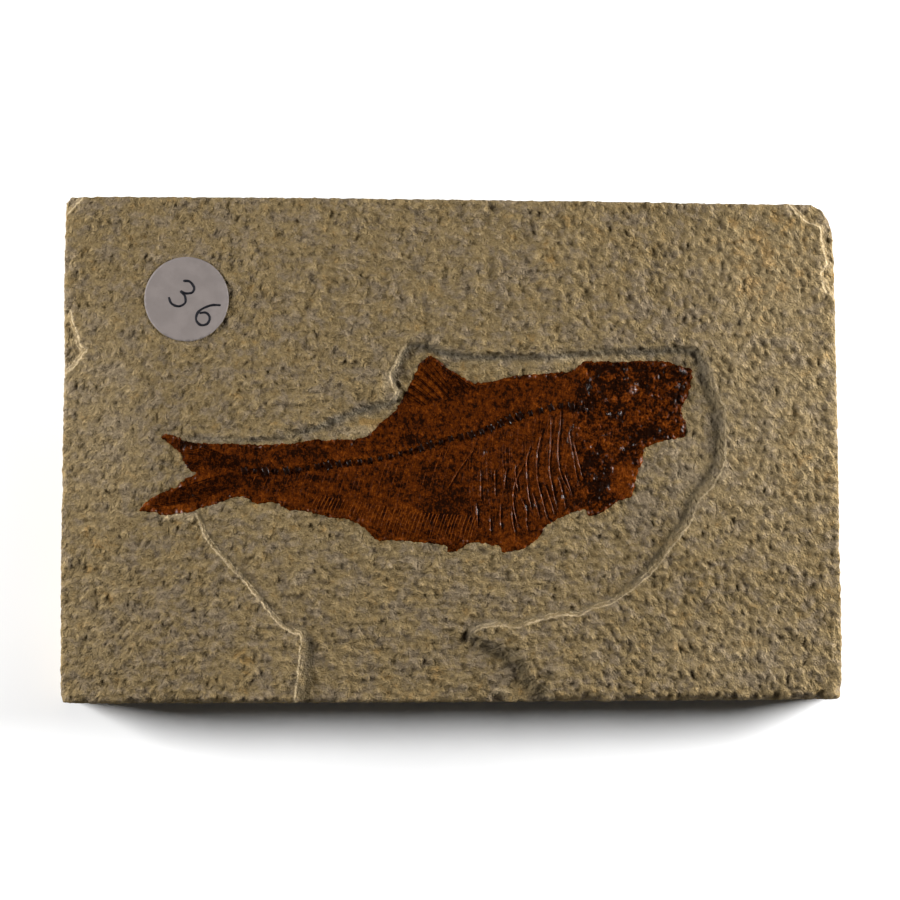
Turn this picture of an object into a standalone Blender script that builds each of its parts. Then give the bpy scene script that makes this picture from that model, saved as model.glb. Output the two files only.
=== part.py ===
"""A slab of lake limestone with one fossil fish in it, and a round paper number sticker.

Lengths are in millimetres until a mesh is made. The slab lies on its back: X runs from tail to head, Y from
belly to back, Z out of the stone. The origin is in the middle of the underside.
"""

import math

import bmesh
import bpy
import numpy as np
from mathutils import Vector, noise
from mathutils.geometry import delaunay_2d_cdt

MM = 0.001
GAP = 0.3

SLAB_THICKNESS = 13.0
RECESS_DEPTH = 1.2
POCKET_FLOOR = 10.2
SLAB_MESH = 3.5
SLAB_EDGE_STEP = 3.4
STONE_LUMPS = 0.3
LUMP_SIZE = 9.0

FILM_AT_EDGE = 0.3
FILM_RISE = 0.55
FILM_SHOULDER = 3.5
FISH_MESH = 2.1
FISH_EDGE_STEP = 1.8
RAGGED_EDGE = 0.12

VERTEBRAE = 37
SPINE_WIDTH = 1.0
SPINE_HEIGHT = 0.6
BONE_WIDTH = 0.45

STICKER_CENTRE = (-59.5, 34.0)
STICKER_RADIUS = 9.5
STICKER_THICKNESS = 0.3
STICKER_SIDES = 48

# The slab's edge seen from above, clockwise from the upper left corner.
SLAB_OUTLINE = [
    (-86.6, 55.6), (-85.7, 56.9), (-79.0, 57.1), (-34.0, 56.8), (15.5, 56.2), (56.0, 55.6), (81.2, 55.3),
    (83.5, 53.8), (85.0, 51.6), (85.7, 49.3), (86.2, 42.8), (86.5, 27.1), (87.1, 0.1), (87.5, -24.7),
    (87.9, -42.7), (87.8, -55.7), (87.1, -56.1), (56.0, -56.4), (0.0, -56.8), (-34.0, -56.9), (-65.5, -57.0),
    (-80.1, -57.1), (-87.5, -56.9), (-87.9, -55.3), (-87.8, -42.7), (-87.8, -24.7), (-87.5, -11.2),
    (-87.3, 4.6), (-87.0, 18.1), (-87.1, 31.6), (-86.9, 42.8), (-86.7, 52.9),
]

# The fish's edge, clockwise from the tip of the upper tail lobe: back, dorsal fin, head, belly, lower lobe.
TAIL_AND_BACK = [
    (-65.2, 3.0), (-64.1, 3.7), (-61.4, 3.0), (-59.6, 1.9), (-53.1, 1.5), (-43.4, 1.3), (-36.2, 1.5),
    (-29.9, 2.3), (-20.9, 2.6), (-17.8, 4.1), (-15.3, 6.6), (-12.4, 9.1),
]
DORSAL_FIN = [
    (-10.6, 12.2), (-9.0, 15.4), (-7.4, 18.7), (-6.1, 20.3), (-4.7, 21.3), (-2.5, 19.9), (0.9, 17.4),
    (3.8, 15.9), (6.8, 15.0),
]
HEAD = [
    (11.0, 16.0), (16.7, 17.0), (22.3, 17.4), (27.0, 17.8), (28.8, 19.2), (31.1, 20.0), (38.0, 20.0),
    (44.8, 20.2), (48.8, 19.9), (51.5, 19.0), (54.2, 18.2), (53.9, 14.7), (53.3, 12.4), (52.0, 9.5),
    (52.2, 7.5), (53.0, 5.9), (52.3, 3.2), (49.3, 2.4), (46.1, 1.6), (43.6, 0.3), (43.2, -1.5),
    (41.9, -5.3), (41.2, -8.5), (40.3, -10.5), (37.1, -11.8), (34.9, -13.4), (31.3, -14.8), (30.2, -13.4),
]
BELLY_AND_ANAL_FIN = [
    (28.1, -13.7), (24.5, -15.4), (21.4, -17.0), (19.4, -20.0), (16.4, -22.1), (11.7, -22.9), (10.6, -21.5),
    (4.7, -20.8), (2.7, -22.0), (-0.5, -23.1), (-1.1, -21.5), (-5.9, -20.8), (-12.6, -20.2), (-16.7, -20.3),
    (-18.7, -18.2), (-22.7, -15.8), (-27.7, -15.0), (-32.9, -13.7), (-37.6, -13.0), (-39.4, -11.8),
    (-44.1, -11.9), (-46.1, -10.7), (-48.8, -10.6),
]
LOWER_TAIL_LOBE = [
    (-53.3, -12.1), (-56.9, -13.2), (-58.7, -13.9), (-64.8, -14.6), (-66.6, -13.9), (-69.5, -14.0),
    (-69.8, -13.0), (-67.7, -11.0), (-64.4, -9.3), (-61.4, -8.0), (-59.4, -6.2), (-57.1, -5.2),
    (-59.0, -4.4), (-60.1, -2.2), (-61.0, -0.4), (-63.2, 1.3),
]
FISH_OUTLINE = TAIL_AND_BACK + DORSAL_FIN + HEAD + BELLY_AND_ANAL_FIN + LOWER_TAIL_LOBE

# The backbone from the tail's root to the skull.
SPINE = [
    (-47.0, -4.7), (-38.0, -4.7), (-30.6, -3.8), (-18.2, -2.3), (-10.3, -0.5), (-1.4, 2.1), (6.8, 4.1),
    (13.7, 7.1), (21.2, 9.2), (25.0, 10.0), (29.5, 9.6),
]

# The foot of the dorsal fin from front to back, and the places where its rays end.
DORSAL_FIN_BASE = [(5.1, 14.2), (2.5, 12.9), (-0.5, 11.8), (-3.4, 11.3), (-6.4, 10.0)]
DORSAL_FIN_TIPS = [(-1.9, 18.9), (-5.0, 20.2), (-7.3, 17.4), (-9.7, 12.6)]

# Ridges of the skull: crown, brow, snout, jaw, gill cover, shoulder bone with its lower branch, and throat.
SKULL_RIDGES = [
    [(31.3, 18.8), (35.3, 18.1), (43.6, 18.5), (51.8, 17.6)],
    [(39.3, 18.3), (40.1, 13.9), (41.4, 12.0)],
    [(51.0, 14.5), (50.2, 11.7), (50.4, 8.6)],
    [(43.6, 7.1), (47.9, 7.3), (51.4, 7.2)],
    [(37.6, 9.5), (38.2, 5.7), (39.8, 3.0), (41.4, 1.6), (43.2, 0.8)],
    [(29.9, 13.6), (28.1, 6.8), (29.9, 1.4), (32.6, -0.8), (34.9, -1.3)],
    [(31.1, 0.7), (33.5, -2.4), (34.2, -6.7), (33.1, -10.7)],
    [(37.2, -2.7), (39.6, -2.9), (41.9, -3.4)],
]
EYE_CENTRE = (46.4, 11.7)
EYE_RADIUS = 2.6

# The lips of the recess, each with the width of its slope. The low side is to the right of the way they run.
RECESS_LIPS = [
    ([(-66.5, 4.8), (-59.9, 3.5), (-53.1, 3.2), (-46.4, 3.0), (-39.6, 3.4)], 1.1),
    ([(-39.6, 3.4), (-34.0, 4.9), (-29.5, 6.4), (-23.9, 8.8), (-18.2, 10.6), (-13.7, 12.0)], 1.6),
    ([(-13.7, 12.0), (-13.1, 15.4), (-13.5, 18.1), (-11.7, 21.2), (-9.7, 23.7)], 1.2),
    ([(-9.7, 23.7), (-6.5, 24.4), (-1.4, 23.0), (4.3, 21.9), (22.3, 21.9), (33.5, 22.9), (53.8, 23.5)], 1.3),
    ([(53.8, 23.5), (56.7, 21.9), (58.1, 19.0), (59.9, 11.8), (61.2, 9.5), (61.6, 5.7), (60.5, -4.4),
      (58.7, -8.5), (55.6, -12.3), (52.0, -19.3), (45.9, -26.7), (36.2, -34.4)], 2.8),
    ([(36.2, -34.4), (28.8, -37.4), (24.5, -37.2), (14.4, -40.0), (7.4, -40.4)], 1.8),
    ([(7.4, -40.4), (5.2, -41.6), (9.2, -45.8), (13.1, -46.7), (16.4, -51.9), (21.4, -55.5), (22.1, -58.5)], 1.8),
    ([(-35.3, -58.5), (-34.6, -52.8), (-34.0, -42.0)], 2.6),
    ([(-34.0, -42.0), (-38.7, -39.1), (-46.8, -29.4), (-51.8, -24.0), (-55.6, -19.1), (-57.4, -14.1)], 1.5),
]
RECESS_FADES_AT = (-72.0, -40.0)
RECESS_WEST_SIDE = [(-72.0, -14.0), (-72.0, 5.0)]

# Places where the top layer has broken away at the edge: lip, width of the break, drop and the corner beyond.
BROKEN_CORNER = ([(90.0, 33.8), (86.4, 33.8), (83.9, 36.7), (83.2, 39.4), (84.6, 41.9), (83.7, 45.3),
                  (83.0, 50.2), (79.4, 51.7), (77.9, 53.2), (73.1, 58.5)], 0.8, 0.9, [(90.0, 58.5)])
LEFT_CHIP = ([(-90.0, 31.8), (-85.7, 31.8), (-84.2, 26.2), (-83.2, 23.2), (-81.7, 23.0), (-85.0, 18.5),
              (-90.0, 15.0)], 1.0, 1.3, [])
UPPER_LEFT_CHIP = ([(-82.4, 58.5), (-83.0, 56.5), (-86.2, 53.2), (-90.0, 49.5)], 0.9, 1.1, [(-90.0, 58.5)])
CHIPS = [BROKEN_CORNER, LEFT_CHIP, UPPER_LEFT_CHIP]


def ease(value, start, end):
    """Runs smoothly from 0 at start to 1 at end."""
    share = np.clip((value - start) / (end - start), 0.0, 1.0)
    return share * share * (3.0 - 2.0 * share)


def along(line, step, closed=False):
    """Points on a line, each corner kept, with no stretch longer than step."""
    ends = line + line[:1] if closed else line
    points = []
    for start, end in zip(ends, ends[1:]):
        count = max(1, math.ceil(math.dist(start, end) / step))
        for index in range(count):
            share = index / count
            points.append((start[0] + share * (end[0] - start[0]), start[1] + share * (end[1] - start[1])))
    return points if closed else points + [line[-1]]


def evenly(line, count):
    """Count points at even distances on a line, its two ends included."""
    corners = np.array(line)
    reach = np.concatenate([[0.0], np.cumsum(np.hypot(*np.diff(corners, axis=0).T))])
    where = np.linspace(0.0, reach[-1], count)
    return list(zip(np.interp(where, reach, corners[:, 0]), np.interp(where, reach, corners[:, 1])))


def beside(line, distance, closed=False):
    """The line moved sideways, to the right of the way it runs where distance is positive."""
    moved = []
    for index, point in enumerate(line):
        before = line[index - 1] if index or closed else point
        after = line[(index + 1) % len(line)] if index + 1 < len(line) or closed else point
        into = Vector((point[0] - before[0], point[1] - before[1])).normalized()
        out = Vector((after[0] - point[0], after[1] - point[1])).normalized()
        way = (into + out).normalized()
        straight = out if out.length else into
        reach = distance / max(0.6, way.dot(straight))
        moved.append((point[0] + reach * way.y, point[1] - reach * way.x))
    return moved


def nearest(points, line):
    """For each point, its distance from the line and how far along the line its nearest place is."""
    away = np.full(len(points), np.inf)
    reach = np.zeros(len(points))
    travelled = 0.0
    for start, end in zip(line, line[1:]):
        start = np.array(start)
        run = np.array(end) - start
        length = float(np.hypot(*run))
        share = np.clip((points - start) @ run / length**2, 0.0, 1.0)
        gap = np.hypot(*(points - start - share[:, None] * run).T)
        closer = gap < away
        away[closer] = gap[closer]
        reach[closer] = travelled + share[closer] * length
        travelled += length
    return away, reach


def within(points, outline):
    """Whether each point is inside a closed outline."""
    inside = np.zeros(len(points), bool)
    x, y = points.T
    for (x1, y1), (x2, y2) in zip(outline, outline[1:] + outline[:1]):
        if y1 != y2:
            inside ^= ((y1 > y) != (y2 > y)) & (x < (x2 - x1) * (y - y1) / (y2 - y1) + x1)
    return inside


def lumps(points, size, seed):
    """Smooth random lumps between about -1 and 1, size across."""
    return np.array([noise.noise(Vector((x / size, y / size, seed))) for x, y in points])


def recess_region():
    """The closed outline of the area that was worked down round the fish."""
    outline = []
    for lip, _ in RECESS_LIPS:
        outline += lip
    return outline + RECESS_WEST_SIDE


def stone_height(points):
    """The top of the stone, as if no fish were in it."""
    x, y = points.T
    height = SLAB_THICKNESS - 0.25 + STONE_LUMPS * lumps(points, LUMP_SIZE, 3.1)
    height += 0.5 * STONE_LUMPS * lumps(points, 0.45 * LUMP_SIZE, 7.7)
    slope = np.full(len(points), np.inf)
    for lip, width in RECESS_LIPS:
        slope = np.minimum(slope, nearest(points, lip)[0] / width)
    depth = RECESS_DEPTH * ease(x, *RECESS_FADES_AT) * (1.0 + 0.35 * ease(-y, 35.0, 55.0))
    height -= np.where(within(points, recess_region()), depth * np.clip(slope, 0.0, 1.0), 0.0)
    for lip, width, drop, corner in CHIPS:
        broken = np.clip(nearest(points, lip)[0] / width, 0.0, 1.0)
        height -= np.where(within(points, lip + corner), drop * broken, 0.0)
    from_sticker = np.hypot(x - STICKER_CENTRE[0], y - STICKER_CENTRE[1])
    bed = ease(-from_sticker, -STICKER_RADIUS - 3.0, -STICKER_RADIUS - 0.6)
    return height + bed * (sticker_bed() - height)


def sticker_bed():
    return SLAB_THICKNESS - 0.25


def ribs():
    """The long ribs behind the skull. They hang from the backbone and their tips turn forward."""
    made = []
    for index in range(11):
        root = 8.6 + 1.95 * index
        top = np.interp(root, *zip(*SPINE)) - 1.3
        fall = 25.5 - 0.55 * abs(index - 4.0) - 0.10 * index**2
        made.append([(root - 0.8 * share + 2.6 * share**2, top - fall * share) for share in (0, 0.3, 0.6, 0.82, 1)])
    return made


def spines_of_the_vertebrae():
    """The thin spines above and below the backbone, which lean back to the tail."""
    made = []
    for index in range(15):
        root = -42.0 + 3.3 * index
        middle = np.interp(root, *zip(*SPINE))
        below = 5.2 + 8.6 * ease(root, -40.0, -12.0)
        above = 4.2 + 6.4 * ease(root, -24.0, -4.0)
        made.append([(root, middle - 1.3), (root - 0.28 * below, middle - 1.3 - 0.5 * below),
                     (root - 0.42 * below, middle - 1.3 - below)])
        made.append([(root + 0.6, middle + 1.3), (root + 0.6 - 0.5 * above, middle + 1.2 + 0.75 * above)])
    return made


def fin_rays():
    """The rays of the tail fin's two lobes, the dorsal fin and the anal fin."""
    made = []
    for share in np.linspace(0.0, 1.0, 6):
        made.append([(-48.6, -2.9 - 1.8 * share), (-55.6 + 0.5 * share, 0.3 - 3.2 * share),
                     (-63.6 + 4.3 * share, 2.2 - 4.6 * share)])
        made.append([(-48.6, -6.4 + 1.5 * share), (-56.8 + 0.6 * share, -11.6 + 3.3 * share),
                     (-67.2 + 5.8 * share, -13.2 + 4.2 * share)])
    for base, tip in zip(evenly(DORSAL_FIN_BASE, 9), evenly(DORSAL_FIN_TIPS, 9)):
        made.append([base, tip])
    for root in np.linspace(-32.0, 5.2, 13):
        low = np.interp(root, [-32.0, -22.0, -17.0, 6.0], [-13.2, -15.3, -19.4, -20.0])
        made.append([(root + 0.7, low + 4.6), (root - 0.9, low + 0.5)])
    return made


def skull_ridges():
    """The raised edges of the skull's plates and of the shoulder bones behind them."""
    turns = [math.radians(angle) for angle in range(0, 361, 36)]
    eye_socket = [(EYE_CENTRE[0] + EYE_RADIUS * math.cos(turn), EYE_CENTRE[1] + EYE_RADIUS * math.sin(turn))
                  for turn in turns]
    return SKULL_RIDGES + [eye_socket]


def bones():
    """Every raised bone apart from the backbone: its line, half its width and its height."""
    made = [(line, BONE_WIDTH, 0.42) for line in ribs()]
    made += [(line, BONE_WIDTH, 0.22) for line in spines_of_the_vertebrae()]
    made += [(line, BONE_WIDTH, 0.2) for line in fin_rays()]
    made += [(line, 1.5 * BONE_WIDTH, 0.5) for line in skull_ridges()]
    return made


def fish_edge():
    """The fish's outline with the small raggedness of a broken film."""
    ragged = []
    for x, y in along(FISH_OUTLINE, FISH_EDGE_STEP, closed=True):
        shift = noise.noise_vector(Vector((x / 2.0, y / 2.0, 5.5)))
        ragged.append((x + RAGGED_EDGE * shift.x, y + RAGGED_EDGE * shift.y))
    return ragged


def fish_height(points):
    """The top of the fish: a thin film that rises from its edge, the backbone and the bones."""
    x, _ = points.T
    from_edge = nearest(points, FISH_OUTLINE + FISH_OUTLINE[:1])[0]
    film = FILM_AT_EDGE + FILM_RISE * (1.0 - np.exp(-from_edge / FILM_SHOULDER))
    skull = ease(x, 26.0, 33.0) * ease(from_edge, 0.0, 5.0)
    film += skull * (0.25 + 0.45 * lumps(points, 4.2, 9.4))
    from_spine, reach = nearest(points, SPINE)
    pitch = sum(math.dist(a, b) for a, b in zip(SPINE, SPINE[1:])) / VERTEBRAE
    joints = 0.72 - 0.28 * np.cos(2.0 * math.pi * reach / pitch)
    raised = SPINE_HEIGHT * joints * np.clip(1.0 - from_spine / SPINE_WIDTH, 0.0, 1.0)
    for line, half_width, height in bones():
        slope = np.clip(1.0 - nearest(points, line)[0] / half_width, 0.0, 1.0)
        raised = np.maximum(raised, height * slope * ease(from_edge, 0.0, 1.5))
    return stone_height(points) + film + raised


def scatter(outline, spacing, keep_off):
    """Points in staggered rows over an outline, clear of its edge and of other points."""
    xs, ys = zip(*outline)
    spread = []
    rows = int((max(ys) - min(ys)) / (0.866 * spacing))
    columns = int((max(xs) - min(xs)) / spacing)
    for row in range(rows + 1):
        for column in range(columns + 1):
            x = min(xs) + (column + 0.5 * (row % 2)) * spacing
            y = min(ys) + 0.866 * row * spacing
            shift = noise.noise_vector(Vector((0.37 * x, 0.37 * y, 2.2)))
            spread.append((x + 0.3 * spacing * shift.x, y + 0.3 * spacing * shift.y))
    spread = np.array(spread)
    spread = spread[within(spread, outline)]
    clear = np.ones(len(spread), bool)
    for x, y in keep_off:
        clear &= np.hypot(spread[:, 0] - x, spread[:, 1] - y) > 0.55 * spacing
    return spread[clear]


def triangulate(outline, loops, creases, spacing):
    """Triangles over an outline that keep every loop and crease as edges. Gives points and triangles."""
    points = []
    edges = []
    for line in [outline] + loops:
        first = len(points)
        points += line
        edges += [(first + index, first + (index + 1) % len(line)) for index in range(len(line))]
    for line in creases:
        first = len(points)
        points += line
        edges += [(first + index, first + index + 1) for index in range(len(line) - 1)]
    points += [tuple(point) for point in scatter(outline, spacing, points)]
    flat = [Vector(point) for point in points]
    found, _, faces, _, _, _ = delaunay_2d_cdt(flat, edges, [], 0, 1e-4)
    found = np.array([tuple(point) for point in found])
    faces = np.array([tuple(face) for face in faces])
    middles = found[faces].mean(axis=1)
    return found, faces[within(middles, outline)]


def border(faces):
    """The edges that only one of the triangles has, in the way round that the triangle runs."""
    ways = {(a, b) for face in faces for a, b in zip(face, np.roll(face, -1))}
    return [(a, b) for a, b in ways if (b, a) not in ways]


def chained(edges):
    """The corners of one closed border in order."""
    after = dict(edges)
    first = min(after)
    loop = [first]
    while after[loop[-1]] != first:
        loop.append(after[loop[-1]])
    return loop


def add_layer(shape, points, heights, faces):
    """Adds triangles at the given heights and returns the corner that stands for each point."""
    corners = {}
    for index in sorted({int(corner) for face in faces for corner in face}):
        place = Vector((*points[index], heights[index])) * MM
        corners[index] = shape.verts.new(place)
    for face in faces:
        shape.faces.new([corners[int(corner)] for corner in face])
    return corners


def wall(shape, upper, lower):
    """Closes the space between two rings of corners of the same length, the upper one counter-clockwise."""
    for index in range(len(upper)):
        after = (index + 1) % len(upper)
        shape.faces.new([upper[after], upper[index], lower[index], lower[after]])


def finish(shape, name, colour, roughness):
    """Makes the object of a finished shape, with a material of its own."""
    bmesh.ops.recalc_face_normals(shape, faces=shape.faces)
    mesh = bpy.data.meshes.new(name)
    shape.to_mesh(mesh)
    shape.free()
    material = bpy.data.materials.new(name)
    material.use_nodes = True
    surface = material.node_tree.nodes["Principled BSDF"]
    surface.inputs["Base Color"].default_value = (*colour, 1.0)
    surface.inputs["Roughness"].default_value = roughness
    surface.inputs["Metallic"].default_value = 0.0
    mesh.materials.append(material)
    made = bpy.data.objects.new(name, mesh)
    bpy.context.scene.collection.objects.link(made)
    return made


def slab_creases():
    """The lip and the foot of each ledge, cut back where they leave the slab."""
    creases = []
    for lip, width in RECESS_LIPS:
        creases += [along(lip, SLAB_EDGE_STEP), along(beside(lip, width), SLAB_EDGE_STEP)]
    for lip, width, _, _ in CHIPS:
        creases += [along(lip, SLAB_EDGE_STEP), along(beside(lip, width), SLAB_EDGE_STEP)]
    return creases


def build_slab():
    """The stone: a broken top with a pocket for the fish, rough sides and a flat underside."""
    outline = along(SLAB_OUTLINE, SLAB_EDGE_STEP, closed=True)
    pocket = beside(fish_edge(), -GAP, closed=True)
    points, faces = triangulate(outline, [pocket], slab_creases(), SLAB_MESH)
    in_pocket = within(points[faces].mean(axis=1), pocket)
    heights = stone_height(points)
    shape = bmesh.new()
    top = add_layer(shape, points, heights, faces[~in_pocket])
    floor = add_layer(shape, points, np.full(len(points), POCKET_FLOOR), faces[in_pocket])
    pocket_ring = chained(border(faces[in_pocket]))
    wall(shape, [floor[corner] for corner in pocket_ring], [top[corner] for corner in pocket_ring])
    ring = chained(border(faces))
    upper = [top[corner] for corner in ring]
    for level, inset, roughness in ((0.62, 0.35, 0.5), (0.3, 0.5, 0.6), (0.0, 0.9, 0.3)):
        lower = []
        for corner, (x, y) in zip(ring, beside([tuple(points[corner]) for corner in ring], -inset, closed=True)):
            shift = noise.noise_vector(Vector((x / 6.0, y / 6.0, 11.0 * level)))
            place = Vector((x + roughness * shift.x, y + roughness * shift.y, level * SLAB_THICKNESS))
            lower.append(shape.verts.new(place * MM))
        wall(shape, upper, lower)
        upper = lower
    shape.faces.new(reversed(upper))
    return finish(shape, "limestone_slab", (0.47, 0.40, 0.27), 0.85)


def build_fish():
    """The fossil: a thin body let into the stone, its upper side in relief and its underside flat."""
    creases = []
    for line, half_width, _ in bones():
        creases += [beside(line, side * half_width) for side in (-1, 0, 1)]
    creases.append(evenly(SPINE, 2 * VERTEBRAE + 1))
    for side in (-1, 1):
        creases.append(beside(evenly(SPINE, VERTEBRAE + 1), side * SPINE_WIDTH))
    outline = fish_edge()
    points, faces = triangulate(outline, [], creases, FISH_MESH)
    shape = bmesh.new()
    top = add_layer(shape, points, fish_height(points), faces)
    ring = chained(border(faces))
    lower = [shape.verts.new(Vector((*points[corner], POCKET_FLOOR + GAP)) * MM) for corner in ring]
    wall(shape, [top[corner] for corner in ring], lower)
    shape.faces.new(reversed(lower))
    return finish(shape, "fossil_fish", (0.055, 0.018, 0.006), 0.35)


def build_sticker():
    """The round paper label: a thin disc whose rim is a little lower than its middle."""
    shape = bmesh.new()
    low = sticker_bed() + GAP
    rings = []
    for radius, height in ((1.0, low), (1.0, low + 0.7 * STICKER_THICKNESS), (0.94, low + STICKER_THICKNESS)):
        ring = []
        for side in range(STICKER_SIDES):
            turn = 2.0 * math.pi * side / STICKER_SIDES
            x = STICKER_CENTRE[0] + radius * STICKER_RADIUS * math.cos(turn)
            y = STICKER_CENTRE[1] + radius * STICKER_RADIUS * math.sin(turn)
            ring.append(shape.verts.new(Vector((x, y, height)) * MM))
        rings.append(ring)
    shape.faces.new(reversed(rings[0]))
    wall(shape, rings[1], rings[0])
    wall(shape, rings[2], rings[1])
    shape.faces.new(rings[2])
    return finish(shape, "number_sticker", (0.38, 0.34, 0.32), 0.7)


def main():
    for old in list(bpy.data.objects):
        bpy.data.objects.remove(old, do_unlink=True)
    build_slab()
    build_fish()
    build_sticker()
    for made in bpy.context.scene.collection.objects:
        made.data.calc_loop_triangles()
        print(made.name, len(made.data.loop_triangles), "triangles")


main()
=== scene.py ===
# %% [markdown]
# # A fossil fish in lake limestone
#
# This lesson dresses a fossil fish in its slab. Mud settled over the fish on the floor of a lake, the mud became
# limestone, and somebody split the stone and worked it down round the fish with a needle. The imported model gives
# the solids. Here each of them gets the surface that the eye sees: rough stone, varnished bone and paper.

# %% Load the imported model
import math

import bmesh
import bpy
import numpy as np
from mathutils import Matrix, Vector
from mathutils.geometry import delaunay_2d_cdt


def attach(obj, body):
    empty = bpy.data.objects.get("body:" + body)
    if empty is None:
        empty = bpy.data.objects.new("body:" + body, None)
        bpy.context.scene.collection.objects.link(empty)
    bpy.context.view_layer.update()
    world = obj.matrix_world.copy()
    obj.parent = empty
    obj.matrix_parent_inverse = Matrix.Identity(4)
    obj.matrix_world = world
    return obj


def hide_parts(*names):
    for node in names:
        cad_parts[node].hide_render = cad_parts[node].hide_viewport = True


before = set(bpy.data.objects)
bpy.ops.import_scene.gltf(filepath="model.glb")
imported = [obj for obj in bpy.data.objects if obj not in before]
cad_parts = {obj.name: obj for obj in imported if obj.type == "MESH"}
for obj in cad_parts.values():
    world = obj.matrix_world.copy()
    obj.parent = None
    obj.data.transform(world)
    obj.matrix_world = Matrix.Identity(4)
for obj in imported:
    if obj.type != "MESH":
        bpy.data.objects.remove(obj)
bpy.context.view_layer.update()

MM = 0.001
BODY = "root"

# %% [markdown]
# ## Lines, distances and noise
#
# Stone and bone have no straight edges, so most shapes here are heights over a plane. A height at a point depends on
# how far the point is from a drawn line, such as the lip of a ledge. Numpy works that out for a
# hundred thousand points at once, which keeps the script quick. Lengths are in millimetres until a mesh is made.

# %% Helpers for lines
# Farther than this from a line, in mm, nothing depends on the distance any more.
FAR = 9.0


def ease(value, start, end):
    """Runs smoothly from 0 at start to 1 at end."""
    share = np.clip((value - start) / (end - start), 0.0, 1.0)
    return share * share * (3.0 - 2.0 * share)


def smooth(line, step, closed=False):
    """Points about a step apart on a soft curve through every corner of a line. Extra columns are kept."""
    corners = np.array(line, float)
    if closed:
        corners = np.vstack([corners[-1], corners, corners[:2]])
    else:
        corners = np.vstack([2 * corners[0] - corners[1], corners, 2 * corners[-1] - corners[-2]])
    made = []
    for a, b, c, d in zip(corners, corners[1:], corners[2:], corners[3:]):
        count = max(1, math.ceil(np.hypot(*(c - b)[:2]) / step))
        for share in np.arange(count) / count:
            made.append(0.5 * (2 * b + (c - a) * share + (2 * a - 5 * b + 4 * c - d) * share**2
                               + (3 * b - a - 3 * c + d) * share**3))
    return np.array(made if closed else made + [corners[-2]])


def nearest(points, line, limit=FAR):
    """For each point, its distance from a line, up to a limit, and how far along the line its nearest place is."""
    order = np.argsort(points[:, 0])
    x, y = points[order].T
    away = np.full(len(points), limit)
    reach = np.zeros(len(points))
    travelled = 0.0
    for start, run in zip(line[:-1, :2], np.diff(line[:, :2], axis=0)):
        length = np.hypot(*run)
        ends = (start[0], start[0] + run[0])
        strip = slice(*np.searchsorted(x, (min(ends) - limit, max(ends) + limit)))
        across, up = x[strip] - start[0], y[strip] - start[1]
        share = np.clip((across * run[0] + up * run[1]) / length**2, 0.0, 1.0)
        gap = np.hypot(across - share * run[0], up - share * run[1])
        closer = gap < away[strip]
        away[strip][closer] = gap[closer]
        reach[strip][closer] = travelled + share[closer] * length
        travelled += length
    found = np.empty((2, len(points)))
    found[:, order] = away, reach
    return found


def closed(line):
    """A line with its first point once more at its end."""
    return np.vstack([line, line[:1]])


def reaches(line):
    """How far along a line each of its points is."""
    return np.concatenate([[0.0], np.cumsum(np.hypot(*np.diff(line[:, :2], axis=0).T))])


def within(points, outline):
    """Whether each point is inside a closed outline."""
    order = np.argsort(points[:, 1])
    x, y = points[order].T
    inside = np.zeros(len(points), bool)
    for (x1, y1), (x2, y2) in zip(outline[:, :2], np.roll(outline[:, :2], -1, axis=0)):
        level = slice(*np.searchsorted(y, sorted((y1, y2))))
        if level.start < level.stop:
            inside[level] ^= x[level] < (x2 - x1) * (y[level] - y1) / (y2 - y1) + x1
    found = np.empty(len(points), bool)
    found[order] = inside
    return found


# %% [markdown]
# Broken stone is never the same twice, so its relief comes from noise. Lumps are soft swells, and dimples are the
# round pits that lie scattered over a split face.

# %% Noise
# The sine of a place, times a large number and without its whole part, is as good as a random number.
SPREAD = (127.1, 311.7, 74.7)
SCRAMBLE = 43758.5453


def lumps(points, size, seed, stretch=1.0):
    """Soft random lumps, from about -1 to 1, size across and stretch times as long along X."""
    x = points[:, 0] / (size * stretch)
    y = points[:, 1] / size
    left, low = np.floor(x), np.floor(y)

    def pull(column, row):
        turn = np.sin(column * SPREAD[0] + row * SPREAD[1] + seed * SPREAD[2]) * SCRAMBLE
        turn = 2.0 * math.pi * (turn - np.floor(turn))
        return np.cos(turn) * (x - column) + np.sin(turn) * (y - row)

    across = ease(x - left, 0.0, 1.0)
    up = ease(y - low, 0.0, 1.0)
    lower = pull(left, low) * (1 - across) + pull(left + 1, low) * across
    upper = pull(left, low + 1) * (1 - across) + pull(left + 1, low + 1) * across
    return 1.6 * (lower * (1 - up) + upper * up)


def dimples(points, cell, seed, share):
    """Round hollows scattered about a cell apart, 1 in the middle of each and 0 outside it."""
    deepest = np.zeros(len(points))
    home = np.floor(points / cell)
    for column in (-1, 0, 1):
        for row in (-1, 0, 1):
            where = home + (column, row)
            chance = [np.sin(where @ (12.9898, 78.233) + seed + k * 37.7) * SCRAMBLE % 1.0 for k in range(4)]
            centre = (where + np.stack(chance[:2], axis=1)) * cell
            radius = cell * (0.07 + 0.13 * chance[2] ** 2)
            away = np.hypot(*(points - centre).T) / radius
            deepest = np.maximum(deepest, np.clip(1.0 - away**2, 0.0, 1.0) * (chance[3] < share))
    return deepest


# %% [markdown]
# ## The stone's own lines
#
# The slab was broken to a rectangle, and one top corner came off. Round the fish runs the lip of the worked recess,
# and the low side is always to the right of the way the lip runs. Each corner of a lip carries three more numbers:
# the width of its slope, how much grey bruising the tools left on it, and how clean and pale its crest is. The crest
# number also sets a painted highlight along the crest and painted shade on the slope below it.

# %% Slab outline, recess and chips
SLAB_THICKNESS = 13.0
STONE_TOP = SLAB_THICKNESS - 0.25
RECESS_DEPTH = 1.2
RECESS_FADES_AT = (-78.0, -8.0)

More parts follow.
